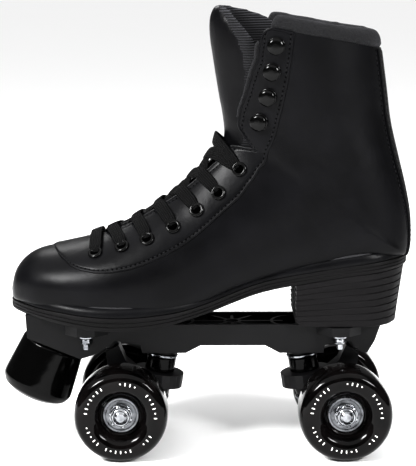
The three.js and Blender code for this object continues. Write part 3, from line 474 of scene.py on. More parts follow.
boot = {
    "bodyRows": [  # base x, base z, crest x, crest z, half width, shift, low, high, widest
        (-139.2, 13.7, -139.8, 22.5, 9, 5, 2.6, 2.2, 0.5),
        (-136.8, 13.3, -137.2, 31.6, 18, 5, 3.6, 2.2, 0.42),
        (-130.5, 13.0, -131, 39.2, 26, 5.2, 5, 2.2, 0.38),
        (-121, 11.9, -121.5, 44.4, 33, 5, 6, 2.2, 0.36),
        (-105, 10.9, -105.5, 48, 39.5, 4, 6.5, 2.2, 0.34),
        (-85, 9.3, -88, 52.4, 43, 2.5, 7, 2.2, 0.32),
        (-64, 9.1, -66.5, 61.6, 43.5, 1.2, 7, 2.1, 0.3),
        (-42, 10.4, -49.5, 72.6, 41, 0.5, 7, 2.05, 0.3),
        (-19, 15.1, -34.5, 85, 36, 0, 7, 2, 0.32),
        (6, 24.2, -21, 99, 33, 0, 6, 2, 0.35),
        (38, 32.4, -13, 110, 32, 0, 5.2, 2, 0.38),
        (74, 38.4, -10.3, 118.6, 31.5, 0, 4.6, 2, 0.42),
        (103.5, 42.0, -10.8, 127, 31.2, 0, 4, 2, 0.46),
        (110.8, 46.2, -12, 136.6, 31, 0, 3.2, 2, 0.5),
        (111.8, 65, -13.6, 147, 31, 0, 2.6, 2, 0.5),
        (108.8, 84, -15.2, 159.5, 31.5, 0, 2.3, 2, 0.5),
        (103.6, 105, -16.7, 171.5, 32.3, 0, 2.1, 2, 0.5),
        (98.4, 126.6, -17.8, 181, 33, 0, 2.1, 2, 0.5),
        (95.2, 149.6, -18, 188, 33.7, 0, 2.1, 2, 0.5),
        (92, 171.9, -17, 193.4, 34.2, 0, 2.1, 2, 0.5),
        (90.2, 184.6, -14, 201.4, 34.5, 0, 2.1, 2, 0.5),
    ],
    "topRow": 19.0,
    "throatRow": 5.1,
    "throat": [(5.1, 0.4), (5.7, 9), (8, 13.5), (12, 19), (14, 21.8), (15, 24.6), (16, 27.2), (17, 29.6),
               (18, 30.8), (19, 31.6), (20, 32.2)],
    "wall": 3.0,
    "halfRun": 118.0,  # mm of leather from the back's middle line to the throat's edge, about
    "cornerRow": 17.8,  # where the throat's top corner begins to round
    "cornerRadius": 11.0,
    "gridRows": 190,
    "gridColumns": 168,
}


def bodyPoints(row, turn, lift=0.0):
    # points of the boot's surface, turn 0 at the base and pi at the crest, negative on the outer side
    row, turn, lift = np.broadcast_arrays(np.atleast_1d(row), turn, lift)
    shape = row.shape
    row, turn, lift = (np.asarray(v, float).ravel() for v in (row, turn, lift))
    bx, bz, cx, cz, half, shift, low, high, widest = splineAt(boot["bodyRows"], row).T
    bz, cz = bz + deck, cz + deck
    long = np.hypot(cx - bx, cz - bz)
    ux, uz = (cx - bx) / long, (cz - bz) / long
    length = long + 2 * lift
    c, s = np.cos(turn), np.sin(turn)
    power = 2 / np.where(c > 0, low, high)
    reach = np.abs(c) ** power
    middle = widest * length
    u = np.where(c > 0, middle * (1 - reach), middle + (length - middle) * reach)
    across = (half + lift) * np.sign(s) * np.abs(s) ** power
    x, z = bx - ux * lift + ux * u, bz - uz * lift + uz * u
    return np.stack([x, shift + across, z], -1).reshape(*shape, 3)


def turnAcross(row, across, lift=0.0):
    # turn at which the surface is a given distance from the crest, measured across
    rows = splineAt(boot["bodyRows"], row)
    share = np.clip(np.maximum(0, across) / (rows[:, 4] + lift), 0, 1)
    return np.pi - np.arcsin(share ** (rows[:, 7] / 2))


def normalsAt(row, turn, lift=0.0):
    e = 0.02
    du = bodyPoints(row + e, turn, lift) - bodyPoints(row - e, turn, lift)
    dv = bodyPoints(row, turn + e, lift) - bodyPoints(row, turn - e, lift)
    normal = np.cross(du, dv)
    normal /= np.maximum(np.linalg.norm(normal, axis=-1, keepdims=True), 1e-9)
    inward = bodyPoints(row, turn, lift - 2) - bodyPoints(row, turn, lift)
    flip = np.sign(np.sum(normal * inward, -1, keepdims=True))
    return normal * -np.where(flip == 0, 1, flip)


searchRows = np.linspace(0.5, 19.9, 400)
searchTurns = np.linspace(0.9, 3.12, 240)
searchGrid = bodyPoints(searchRows[:, None], searchTurns[None, :])


def surfaceSpot(x, z, side):
    # row and turn of the surface seen from the side at x, z, side being -1 for the outer side
    miss = np.hypot(searchGrid[..., 0] - x, searchGrid[..., 2] - z)
    i, j = np.unravel_index(np.argmin(miss), miss.shape)
    row, turn = searchRows[i], searchTurns[j]
    step = (searchRows[1] - searchRows[0], searchTurns[1] - searchTurns[0])
    rows = row + np.linspace(-1, 1, 21) * step[0]
    turns = turn + np.linspace(-1, 1, 21) * step[1]
    near = bodyPoints(rows[:, None], turns[None, :])
    miss = np.hypot(near[..., 0] - x, near[..., 2] - z)
    i, j = np.unravel_index(np.argmin(miss), miss.shape)
    return rows[i], turns[j] * side


sole = {
    "outline": [
        (-140.5, 6), (-136.5, -9), (-123, -26), (-101, -39.5), (-72, -45.5), (-42, -41), (-12, -32.5),
        (20, -28.5), (55, -29.5), (85, -29.5), (101, -21), (108.6, -9),
        (110, 0), (108.6, 9), (101, 21), (85, 29.5), (55, 28.5),
        (20, 26.5), (-12, 29.5), (-42, 37), (-72, 43.5), (-101, 41.5), (-123, 33.5), (-136.5, 20),
    ],
    "topLine": [
        (-142, 13.3), (-132, 13.1), (-119, 11.8), (-106, 11), (-96, 10), (-80, 9.1), (-64, 9.1),
        (-48, 9.9), (-32, 11.8), (-16, 16), (0, 22), (16, 27.6), (35, 32), (68, 37.8), (92, 41), (112, 43),
    ],
    "edge": 6.3,
    "ball": (-74, 45, 2.1),  # middle, reach, extra thickness
    # the upper's turned-in edge: outline growth, height over the sole
    "welt": [(-1.5, 0.05), (-0.8, 0.5), (-0.85, 2.0), (-1.5, 3.8), (-3.0, 5.2), (-6.5, 5.9)],
}
fineTop = splineAt(sole["topLine"], np.linspace(0, 15, 160))


def soleTop(x):
    return deck + skate["sheetGap"] + np.interp(x, fineTop[:, 0], fineTop[:, 1])


def soleUnder(x):
    middle, reach, extra = sole["ball"]
    thick = sole["edge"] + extra * np.maximum(0, 1 - ((x - middle) / reach) ** 2)
    return np.maximum(soleTop(x) - thick, deck + skate["sheetGap"])


notch = {"spot": (13.0, 191.7), "below": 1.0, "above": 0.9}
notchRow, notchTurn = surfaceSpot(*notch["spot"], 1)


def throatHalf(row):
    return tableAt(boot["throat"], row)


def throatTurn(row):
    # turn of the throat's edge, with the notch between the eyelets and the hooks
    row = np.asarray(row, float)
    edge = turnAcross(row, throatHalf(row))
    dip = np.where(row < notchRow, (notchRow - row) / notch["below"], (row - notchRow) / notch["above"])
    dip = np.clip(1 - dip, 0, 1) ** 1.3
    edge = edge - np.maximum(edge - notchTurn, 0) * dip
    return np.where(row < boot["throatRow"], np.pi, edge)


def aboveSole(points, clearance=0.3):
    points[..., 2] = np.maximum(points[..., 2], soleTop(points[..., 0]) + clearance)
    return points


def cornerDrop(row, fromEdge, radius):
    # rows by which the top corner of the throat rounds down, by distance in mm from its edge
    t = np.clip(1 - fromEdge / radius, 0, 1)
    near = np.clip((row - boot["cornerRow"]) / (boot["topRow"] - boot["cornerRow"]), 0, 1)
    return (1 - np.sqrt(1 - t * t)) * near


def buildUpper():
    early = np.linspace(0, 3, 40, endpoint=False)
    rows = np.concatenate([early, np.linspace(3, boot["topRow"], boot["gridRows"])])
    share = np.linspace(-1, 1, boot["gridColumns"])
    edge = throatTurn(rows)
    turns = share[None, :] * edge[:, None]
    fromEdge = (1 - np.abs(share))[None, :] * boot["halfRun"]
    rowGrid = rows[:, None] - cornerDrop(rows[:, None], fromEdge, boot["cornerRadius"])
    outer = aboveSole(bodyPoints(rowGrid, turns))
    inner = aboveSole(bodyPoints(rowGrid, turns, -boot["wall"]), 0.3 + boot["wall"])
    heap = Heap()
    count, columns = len(rows), len(share)
    heap.take(outer.reshape(-1, 3), gridFaces(count, columns))
    tip = [tuple(outer[0].mean(0) + (-0.8, 0, 0))] + [tuple(p) for p in outer[0]]
    heap.take(tip, [[0, j + 1, j + 2] for j in range(columns - 1)])
    heap.take(inner.reshape(-1, 3), [f[::-1] for f in gridFaces(count, columns)], 1)
    closedRows = int(np.sum(rows < boot["throatRow"]))
    innerTip = [tuple(inner[0].mean(0))] + [tuple(p) for p in inner[0]]
    heap.take(innerTip, [[0, j + 2, j + 1] for j in range(columns - 1)], 1)
    rim = [(i, 0) for i in range(closedRows, count)]
    rim += [(count - 1, j) for j in range(columns)]
    rim += [(i, columns - 1) for i in range(count - 1, closedRows - 1, -1)]
    bulgeOuter = [tuple(outer[i, j]) for i, j in rim]
    bulgeMiddle = [tuple((outer[i, j] + inner[i, j]) / 2) for i, j in rim]
    bulgeInner = [tuple(inner[i, j]) for i, j in rim]
    heap.take(bulgeOuter + bulgeMiddle + bulgeInner, gridFaces(3, len(rim)))
    heap.piece("leatherUpper", [leather, lining], "boot", "leather", ["boot_upper"], 60)


buildUpper()
print("upper made")

facing = {
    "seam": [
        (-106.7, 123.6), (-100.6, 119.8), (-94.4, 117.9), (-85.2, 116.7), (-76, 117), (-63.7, 119.2),
        (-51.3, 123.5), (-39, 129.1), (-26.7, 136), (-14.4, 145.9), (-5.2, 154), (3.9, 162), (10, 170),
        (16.1, 179.2), (20.9, 187.8), (25.1, 198.2), (28, 210.4), (31, 222.6), (33.3, 234.7),
        (35, 246.7), (36.1, 258.7), (36.7, 264.5),
    ],
    "height": 1.0,
    "step": 0.9,       # width over which its edge rises
    "stitchIn": 2.2,   # stitches from the edge
    "throatStitchIn": 3.2,
    "stitchPitch": 2.9,
    "cornerRadius": 8.0,
    "binding": 0.8,    # radius of the bound edge
    "liningRoll": 2.0,
    "rows": 230,
}


def seamTable():
    spots = [surfaceSpot(x, z, 1) for x, z in facing["seam"]]
    rows = [spots[0][0] - 0.42, spots[0][0] - 0.3, spots[0][0] - 0.12] + [s[0] for s in spots]
    first = spots[0][1]
    turns = [math.pi, first * 0.35 + math.pi * 0.65, first * 0.8 + math.pi * 0.2] + [s[1] for s in spots]
    return rows, turns


seamRows, seamTurns = seamTable()


def facingLine(row, fromSeam=None, fromEdge=None):
    # turn on the right half, given how far in mm from the seam or from the throat's edge
    low, high = float(np.interp(row, seamRows, seamTurns)), float(throatTurn(np.array([row]))[0])
    turns = np.linspace(low, high, 60)
    run = np.linalg.norm(np.diff(bodyPoints(row, turns), axis=0), axis=1)
    along = np.concatenate([[0], np.cumsum(run)])
    want = fromSeam if fromSeam is not None else along[-1] - fromEdge
    return float(np.interp(want, along, turns)), along[-1]


def facingLift(d, width, isOpen):
    rise = np.clip(d / facing["step"], 0, 1)
    lift = -0.3 + (facing["height"] + 0.3) * (rise * (2 - rise)) ** 0.6
    lift = lift - 0.28 * np.exp(-(((d - facing["stitchIn"]) / 0.7) ** 2))
    if isOpen:
        lift = lift - 0.28 * np.exp(-(((width - d - facing["throatStitchIn"]) / 0.7) ** 2))
    return lift


def buildFacing(side):
    name = "outer" if side < 0 else "inner"
    rows = np.concatenate([np.linspace(seamRows[0], seamRows[3], 16, endpoint=False),
                           np.linspace(seamRows[3], boot["topRow"] - 0.02, facing["rows"])])
    grid = []
    start = [0, 0.1, 0.3, 0.6, 0.95, 1.5, 2.2, 2.9, 3.6]
    finish = [4.2, 3.2, 2.4, 1.6, 0.9, 0.3, 0.0]
    for row in rows:
        width = facingLine(row, fromSeam=0)[1]
        isOpen = row > boot["throatRow"] + 0.3
        d = np.array([min(v, width * 0.5 * i / 9) for i, v in enumerate(start)])
        e = np.array([min(v, width * 0.5 * (6 - i) / 7) for i, v in enumerate(finish)])
        middle = np.linspace(d[-1], width - e[0], 12)[1:-1]
        d = np.concatenate([d, middle, width - e])
        low, high = float(np.interp(row, seamRows, seamTurns)), float(throatTurn(np.array([row]))[0])
        turns = np.linspace(low, high, 80)
        points = bodyPoints(row, turns)
        along = np.concatenate([[0], np.cumsum(np.linalg.norm(np.diff(points, axis=0), axis=1))])
        turn = np.interp(d, along, turns)
        lift = facingLift(d, width, isOpen)
        drop = cornerDrop(row, width - d, facing["cornerRadius"]) if isOpen else 0 * d
        line = bodyPoints(row - drop, turn * side, lift)
        if isOpen:  # turned over the edge
            over = [bodyPoints(row - drop[-1], turn[-1] * side, v)[0] for v in (0.2, -1.2, -3.1)]
            bow = (line[-1] - line[-2]) / max(np.linalg.norm(line[-1] - line[-2]), 1e-6)
            over = [over[0] + bow * 0.5, over[1] + bow * 0.6, over[2]]
        else:
            over = [line[-1]] * 3
        grid.append(np.vstack([line, over]))
    points = np.array(grid)
    heap = Heap().take(points.reshape(-1, 3), gridFaces(points.shape[0], points.shape[1]))
    heap.piece(f"facing_{name}", leather, "boot", "leather", (), 50)


def evenly(points, normals, pitch, phase=0.5):
    # places every pitch mm along a line: (point, tangent, normal)
    run = np.concatenate([[0], np.cumsum(np.linalg.norm(np.diff(points, axis=0), axis=1))])
    made = []
    for s in np.arange(phase * pitch, run[-1], pitch):
        p = [np.interp(s, run, points[:, k]) for k in range(3)]
        q = [np.interp(s + 0.2, run, points[:, k]) - np.interp(s - 0.2, run, points[:, k]) for k in range(3)]
        n = Vector([np.interp(s, run, normals[:, k]) for k in range(3)]).normalized()
        made.append((Vector(p), Vector(q).normalized(), n))
    return made


stitch = {"length": 1.9, "width": 0.8, "height": 0.34, "hole": 0.55,
          "section": [(-1, 0.1), (-0.85, 0.6), (-0.4, 1), (0.4, 1), (0.85, 0.6), (1, 0.1)]}  # along, size


def sew(heap, points, normals, pitch):
    # lays stitches along a line, with a black disc between each two as painted shade of the needle hole
    for place, ahead, up in evenly(points, normals, pitch):
        across = ahead.cross(up).normalized()
        ring = []
        for t, size in stitch["section"]:
            for a in range(6):
                angle = math.pi * a / 5
                ring.append(place + ahead * t * stitch["length"] / 2
                            + across * math.cos(angle) * stitch["width"] / 2 * size
                            + up * (math.sin(angle) * stitch["height"] * size - 0.05))
        heap.take(ring, gridFaces(6, 6), 0)
    # black discs just over the leather: painted shade of the needle holes
    for place, ahead, up in evenly(points, normals, pitch, 1.0):
        across = ahead.cross(up).normalized()
        hole = [place + up * 0.06 + (ahead * math.cos(a) + across * math.sin(a)) * stitch["hole"]
                for a in fractions(8)]
        heap.take(hole, [list(range(8))], 1)


def surfaceLine(rows, turns, lift):
    points = np.array([bodyPoints(r, t, lift)[0] for r, t in zip(rows, turns)])
    normals = np.array([normalsAt(np.array([r]), np.array([t]))[0] for r, t in zip(rows, turns)])
    return points, normals


def takeCord(heap, points, normals, radius, sides=10):
    # a round cord through points
    made, count = [], len(points)
    for i in range(count):
        ahead = Vector(points[min(i + 1, count - 1)]) - Vector(points[max(i - 1, 0)])
        up = Vector(normals[i])
        across = ahead.cross(up).normalized()
        up = across.cross(ahead).normalized()
        size = radius * (0.3 if i in (0, count - 1) else 1)
        for k in range(sides):
            a = 2 * math.pi * k / sides
            made.append(Vector(points[i]) + across * math.cos(a) * size + up * math.sin(a) * size)
    heap.take(made, tubeFaces(count, sides))


def buildSeams():
    heap, edges, rolls = Heap(), Heap(), Heap()
    pitch = facing["stitchPitch"]
    for side in (-1, 1):
        rows = np.linspace(seamRows[1], boot["topRow"] - 0.1, 260)
        turns = [facingLine(r, fromSeam=facing["stitchIn"])[0] * side for r in rows]
        sew(heap, *surfaceLine(rows, turns, facing["height"] - 0.22), pitch)
        rows = np.linspace(boot["throatRow"] + 0.75, boot["topRow"] - 0.35, 240)
        turns = [facingLine(r, fromEdge=facing["throatStitchIn"])[0] * side for r in rows]
        sew(heap, *surfaceLine(rows, turns, facing["height"] - 0.22), pitch * 0.92)
        # bound edge of the facing, round its top corner
        rows = np.linspace(boot["throatRow"] + 0.45, boot["topRow"] - 0.05, 240)
        turns = np.array([facingLine(r, fromEdge=0.3)[0] for r in rows])
        drop = cornerDrop(rows, np.full(len(rows), 0.3), facing["cornerRadius"])
        inwards = np.linspace(0.8, 20, 40)
        top = np.full(40, boot["topRow"] - 0.05)
        turns = np.concatenate([turns, [facingLine(top[0], fromEdge=v)[0] for v in inwards]])
        rows = np.concatenate([rows - drop, top - cornerDrop(top, inwards, facing["cornerRadius"])])
        points, normals = surfaceLine(rows, turns * side, facing["height"] - 0.35)
        takeCord(edges, points, normals, facing["binding"])
        # the lining rolled over the edge inside it, from the notch to the collar
        rows = np.linspace(notchRow + 1.3, boot["topRow"] - 0.1, 120)
        turns = np.array([facingLine(r, fromEdge=0.0)[0] for r in rows]) + 0.025
        drop = cornerDrop(rows, np.zeros(len(rows)), facing["cornerRadius"])
        points, normals = surfaceLine(rows - drop, turns * side, -1.6)
        takeCord(rolls, points, normals, facing["liningRoll"])
    heap.piece("facingStitches", [thread, paintedHoleShade], "boot", "leather", (), 60)
    edges.piece("facingBinding", leather, "boot", "leather", (), 60)
    rolls.piece("liningRoll", lining, "boot", "lining", (), 60)


buildFacing(-1)
buildFacing(1)
buildSeams()
print("facings and seams made")

backstay = {"rows": (12.35, 18.95), "half": 12.0, "height": 0.7, "piping": 0.8, "pipingOut": 0.5,
            "stitchIn": 2.4, "stitchOut": 3.2, "stitchPitch": 3.1}


def backstayTurn(row, half):
    rows = splineAt(boot["bodyRows"], row)
    return np.arcsin(np.clip(half / rows[:, 4], 0, 1) ** (rows[:, 6] / 2))


def buildBackstay():
    heap, cords, seams = Heap(), Heap(), Heap()
    rows = np.linspace(*backstay["rows"], 150)
    share = np.linspace(-1, 1, 25)
    edge = backstayTurn(rows, backstay["half"])
    lift = backstay["height"] * np.clip((1 - np.abs(share)) * 12, 0, 1) ** 0.5 - 0.15
    ends = np.clip(np.minimum(rows - rows[0], rows[-1] - rows) * 12, 0, 1) ** 0.5
    points = bodyPoints(rows[:, None], share[None, :] * edge[:, None], lift[None, :] * ends[:, None])
    heap.take(points.reshape(-1, 3), gridFaces(len(rows), len(share)))
    heap.piece("backstayTape", tape, "boot", "leather", (), 50)
    for side in (-1, 1):
        cordTurns = backstayTurn(rows, backstay["half"] + backstay["pipingOut"]) * side
        takeCord(cords, *surfaceLine(rows, cordTurns, 0.35), backstay["piping"])
        sewTurns = backstayTurn(rows, backstay["half"] - backstay["stitchIn"]) * side
        sew(seams, *surfaceLine(rows, sewTurns, backstay["height"] - 0.1), backstay["stitchPitch"])
        sewTurns = backstayTurn(rows, backstay["half"] + backstay["stitchOut"]) * side
        sew(seams, *surfaceLine(rows, sewTurns, 0.0), backstay["stitchPitch"])
    cords.piece("backstayPiping", leather, "boot", "leather", (), 60)
    seams.piece("backstayStitches", [thread, paintedHoleShade], "boot", "leather", (), 60)


buildBackstay()

fittings = {  # places as x and height over the plate, profiles as radius and height over the leather
    "eyelets": [(-85, 46.5), (-68.5, 51), (-53, 56), (-37, 63.5), (-22.5, 73.5), (-9, 84), (4, 98.5)],
    "hooks": [(16, 128), (21, 143.5), (23.3, 159), (25.6, 174.6)],
    "eyeletProfile": [(2.5, -1.0), (2.55, 0.9), (3.1, 1.55), (3.9, 1.6), (4.55, 1.15), (4.6, 0.4),
                      (4.3, -0.3)],
    "hookProfile": [(0, 0.3), (5.5, 0.3), (5.5, 1.4), (2.7, 2.1), (2.5, 3.0), (4.7, 3.1), (5.3, 3.7),
                    (5.1, 4.5), (4.0, 5.3), (2.2, 5.75), (0, 5.85)],
}
fittingFrames = {}
for side, name in ((-1, "left"), (1, "right")):
    for kind in ("eyelets", "hooks"):
        spots = [surfaceSpot(x, z + deck, side) for x, z in fittings[kind]]
        frames = []
        for row, turn in spots:
            lift = facing["height"] if kind == "eyelets" else 0.0
            frames.append((row, turn, Vector(bodyPoints(row, turn, lift)[0]),
                           Vector(normalsAt(np.array([row]), np.array([turn]))[0])))
        fittingFrames[kind, name] = frames


def buildFittings():
    ring = eased(fittings["eyeletProfile"], 0.3, False, 3)
    knob = eased(fittings["hookProfile"], 0.5, False, 3)
    for side in ("left", "right"):
        heap = Heap()
        for _, _, place, normal in fittingFrames["eyelets", side]:
            heap.take(*placed(turned(ring, 40, False), place, normal))
            # a black disc inside each eyelet's ring: painted shade of its bore
            floor = [(2.6 * math.cos(a), 0.15, 2.6 * math.sin(a)) for a in fractions(20)]
            heap.take(placed((floor, []), place, normal)[0], [list(range(20))], 1)
        heap.piece(f"eyelets_{side}", [enamel, paintedHoleShade], "boot", "black_metal", (), 50)
        for i, (_, _, place, normal) in enumerate(fittingFrames["hooks", side]):
            shape = placed(turned(knob, 40, False), place + normal * facing["height"] * 0.25, normal)
            Heap().take(*shape).piece(f"laceHook_{side}_{i + 1}", enamel, "boot", "black_metal",
                                      [f"hook_{side}_{i + 1}"], 50)


buildFittings()
print("eyelets and hooks made")

tongue = {
    "rows": (5.7, 19.82), "columns": 48,
    "half": {
        "left": [(5.7, 11), (8, 18), (12, 24), (15, 27.2), (16, 29.2), (16.9, 29.4), (17.7, 27.6),
                 (18.5, 24.4), (19.0, 21.2), (19.4, 17), (19.65, 12.6), (19.78, 8.5), (19.82, 5)],
        "right": [(5.7, 11), (8, 18), (12, 24), (15, 27.2), (17.5, 30), (19, 31), (19.5, 30), (19.72, 27),
                  (19.82, 22)],
    },
    "border": 5.5,  # width of the knit roll round its edge
    "outer": [(5.7, -4.3), (10, -4.6), (13, -4.2), (16, -3.4), (20, -3.0)],
    "thick": [(5.7, 4.0), (12, 4.8), (16, 6.5), (18.5, 9.0), (20, 9.0)],
    "voxel": 2.6, "pressure": 3.0, "cap": 1.6,
}


def tongueHalf(row, side):
    return tableAt(tongue["half"]["left" if side < 0 else "right"], row)


cloth = {"steps": 20, "quality": 5}


def puff(piece, voxel, pressure, cap):
    # meshes a closed pad evenly at voxel mm, swells it with a short cloth simulation and keeps each
    # point within cap mm of its start
    remesh = piece.modifiers.new("even", "REMESH")
    remesh.mode, remesh.voxel_size = "VOXEL", voxel / 1000
    settle(piece)
    start = np.array([v.co for v in piece.data.vertices])
    swell = piece.modifiers.new("cloth", "CLOTH")
    swell.settings.use_pressure = True
    swell.settings.uniform_pressure_force = pressure
    swell.settings.effector_weights.gravity = 0
    swell.settings.quality = cloth["quality"]
    swell.point_cache.frame_start, swell.point_cache.frame_end = 1, cloth["steps"]
    for step in range(1, cloth["steps"] + 1):
        bpy.context.scene.frame_set(step)
    settle(piece)
    bpy.context.scene.frame_set(1)
    now = np.array([v.co for v in piece.data.vertices])
    move = now - start
    far = np.linalg.norm(move, axis=1, keepdims=True)
    move *= np.minimum(1, cap / 1000 / np.maximum(far, 1e-9))
    piece.data.vertices.foreach_set("co", (start + move).ravel())
    smooth = piece.modifiers.new("smooth", "SMOOTH")
    smooth.factor, smooth.iterations = 0.5, 3
    finer = piece.modifiers.new("finer", "SUBSURF")
    finer.levels = finer.render_levels = 1
    settle(piece)
    piece.data.polygons.foreach_set("use_smooth", [True] * len(piece.data.polygons))


def settle(piece):
    # puts the result of the piece's modifiers into its mesh
    graph = bpy.context.evaluated_depsgraph_get()
    made = bpy.data.meshes.new_from_object(piece.evaluated_get(graph))
    piece.modifiers.clear()
    piece.data = made


def buildTongue():
    rows = np.linspace(*tongue["rows"], 110)
    share = np.linspace(-1, 1, tongue["columns"])
    outerLift = tableAt(tongue["outer"], rows)
    thick = tableAt(tongue["thick"], rows)
    reach = {side: np.array([math.pi - float(turnAcross(np.array([r]), tongueHalf(r, side), l)[0])
                             for r, l in zip(rows, outerLift)]) for side in (-1, 1)}
    # turns past pi lie on the outer side
    turn = math.pi + np.where(share[None, :] > 0, reach[-1][:, None], reach[1][:, None]) * share[None, :]
    roundness = np.sqrt(np.clip(1 - np.abs(share) ** 4, 0, 1))[None, :]
    ends = np.clip(np.minimum(rows - rows[0], rows[-1] - rows) / 0.35, 0.0, 1)[:, None] ** 0.5
    deep = thick[:, None] * (0.25 + 0.75 * roundness * ends)
    middle = outerLift[:, None] - thick[:, None] / 2
    outer = bodyPoints(rows[:, None], turn, middle + deep / 2)
    inner = bodyPoints(rows[:, None], turn, middle - deep / 2)
    loop = np.concatenate([outer, inner[:, ::-1]], axis=1)
    count, around = loop.shape[:2]
    faces = gridFaces(count, around, False, True)
    for first in (0, (count - 1) * around):
        for j in range(around // 2 - 1):
            a, b, c, d = first + j, first + j + 1, first + around - 2 - j, first + around - 1 - j
            faces.append([a, b, c, d] if first == 0 else [d, c, b, a])
    piece = addPiece("tongue_padded", loop.reshape(-1, 3), faces, [leather, knit], None)
    puff(piece, tongue["voxel"], tongue["pressure"], tongue["cap"])
    paintTongue(piece, rows)
    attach(piece, "boot")
    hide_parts("tongue")


def paintTongue(piece, rows):
    # leather in front, rib knit at the back and round the edge
    count = 61
    turns = np.linspace(-1, 1, count) * 0.9 + math.pi
    spots = bodyPoints(rows[:, None], turns[None, :], -5)
    normals = normalsAt(np.repeat(rows, count), np.tile(turns, len(rows)), -5)
    halves = {side: np.repeat(tongueHalf(rows, side), count) for side in (-1, 1)}
    flat = spots.reshape(-1, 3)
    tree = KDTree(len(flat))
    for i, p in enumerate(flat):
        tree.insert(p, i)
    tree.balance()
    piece.data.materials.clear()
    for one in (leather, knit):
        piece.data.materials.append(one)
    paint = []
    for face in piece.data.polygons:
        spot = face.center * 1000 - Vector((skate["shift"], 0, 0))
        _, i, _ = tree.find(spot)
        facingOut = face.normal.dot(Vector(normals[i]))
        nearEdge = abs(spot.y) > halves[-1 if spot.y < 0 else 1][i] - tongue["border"]
        paint.append(0 if facingOut > 0.35 and not nearEdge else 1)
    piece.data.polygons.foreach_set("material_index", paint)


collar = {
    "section": [  # row, lift
        (19.03, 0.1), (19.2, 1.0), (19.5, 0.9), (19.8, -1.2), (19.92, -4), (19.85, -7), (19.5, -9.2),
        (18.8, -9.9), (18.0, -9.6), (17.4, -8), (17.25, -5.4), (17.6, -4.1), (18.3, -3.9),
        (18.95, -3.6), (19.03, -1.8),
    ],
    "voxel": 2.6, "pressure": 3.0, "cap": 1.4,
}


def buildCollar():
    count, around = 180, 60
    spots = np.linspace(0, len(collar["section"]), around, endpoint=False)
    section = splineAt(collar["section"], spots, True)
    edge = float(turnAcross(np.array([19.0]), throatHalf(19.0) + 0.8)[0])
    share = np.linspace(-1, 1, count)
    taper = np.sqrt(np.clip(1 - ((np.abs(share) - 0.955) / 0.045).clip(0, 1) ** 2, 0.02, 1))
    centre = section.mean(0)
    rows = centre[0] + (section[None, :, 0] - centre[0]) * taper[:, None] - (1 - taper[:, None]) * 0.2
    lifts = centre[1] + (section[None, :, 1] - centre[1]) * taper[:, None]
    points = bodyPoints(rows, share[:, None] * edge * np.ones_like(rows), lifts)
    piece = addPiece("collar_padded", points.reshape(-1, 3), tubeFaces(count, around), lining, None)
    puff(piece, collar["voxel"], collar["pressure"], collar["cap"])
    piece.data.materials.clear()
    piece.data.materials.append(lining)
    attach(piece, "boot")
    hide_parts("collar")


buildTongue()
buildCollar()
print("tongue and collar made")

lace = {
    "width": 8.0, "thick": 1.3, "steps": 40,
    "uvLength": 7.6,   # mm of lace to one length of its weave
    "lead": 0.95,      # rows by which the topmost crossing runs ahead
    "onTongue": -0.6,  # lift of the lace's middle over the tongue
    "overFacing": 3.2,
    "climb": 0.16,     # turn over which it climbs the facing's edge
    "sink": 0.12,      # and slips under the far one
    "dive": 3.0,       # depth to which it goes into an eyelet
    "diveShare": 0.07,
    "pinch": 0.7,      # width in the eyelet
    "pinchShare": 0.1,
}


def takeRibbon(heap, points, normals, width, thick):
    # a flat lace with softly rounded edges through points, its broad side along the normals
    count = len(points)
    around = 20
    section = [(softPower(math.cos(a), 0.5), softPower(math.sin(a), 0.9)) for a in fractions(around)]
    made, uvs, run = [], [], 0.0
    for i in range(count):
        here = Vector(points[i])
        ahead = (Vector(points[min(i + 1, count - 1)]) - Vector(points[max(i - 1, 0)])).normalized()
        run += (here - Vector(points[i - 1])).length if i else 0
        across = ahead.cross(Vector(normals[i])).normalized()
        up = across.cross(ahead).normalized()
        for a, b in section:
            made.append(here + across * a * width[i] / 2 + up * b * thick / 2)
            uvs.append(((a + 1) / 2, run / lace["uvLength"]))
    heap.take(made, tubeFaces(count, around), 0, uvs)


def takeCrossing(heap, start, end, under=True, rise=0.0, lead=0.0):
    # one run of lace: out over the facing from an eyelet, across the tongue and under the other facing
    steps = lace["steps"]
    t = np.linspace(0, 1, steps)
    rowA, turnA = start[:2]
    rowB, turnB = end[:2]
    turnA, turnB = turnA % (2 * math.pi), turnB % (2 * math.pi)
    rows = rowA + (rowB - lead - rowA) * t
    turns = turnA + (turnB - turnA) * t
    edge = throatTurn(rows)
    away = np.abs(turns - math.pi) - (math.pi - edge)  # beyond the throat's edge, as a turn
    over = np.clip(away / lace["climb"] + 0.9, 0, 1)
    lift = lace["onTongue"] + lace["overFacing"] * over + rise * np.sin(np.pi * t)
    if under:
        far = t > 0.5
        below = np.clip(away / lace["sink"] + 0.9, 0, 1)
        lift = np.where(far, lace["onTongue"] - lace["overFacing"] * below, lift)
    dive = np.clip(1 - t / lace["diveShare"], 0, 1)
    if not under:
        dive = dive + np.clip(1 - (1 - t) / lace["diveShare"], 0, 1)
    lift = lift - dive * lace["dive"]
    points = np.array([bodyPoints(r, a, l)[0] for r, a, l in zip(rows, turns, lift)])
    normals = np.array([normalsAt(np.array([r]), np.array([a]), 0)[0] for r, a in zip(rows, turns)])
    wide = np.clip(t / lace["pinchShare"], 0, 1)
    if not under:
        wide = wide * np.clip((1 - t) / lace["pinchShare"], 0, 1)
    pinch = lace["pinch"] + (1 - lace["pinch"]) * wide
    takeRibbon(heap, points, normals, lace["width"] * pinch, lace["thick"])


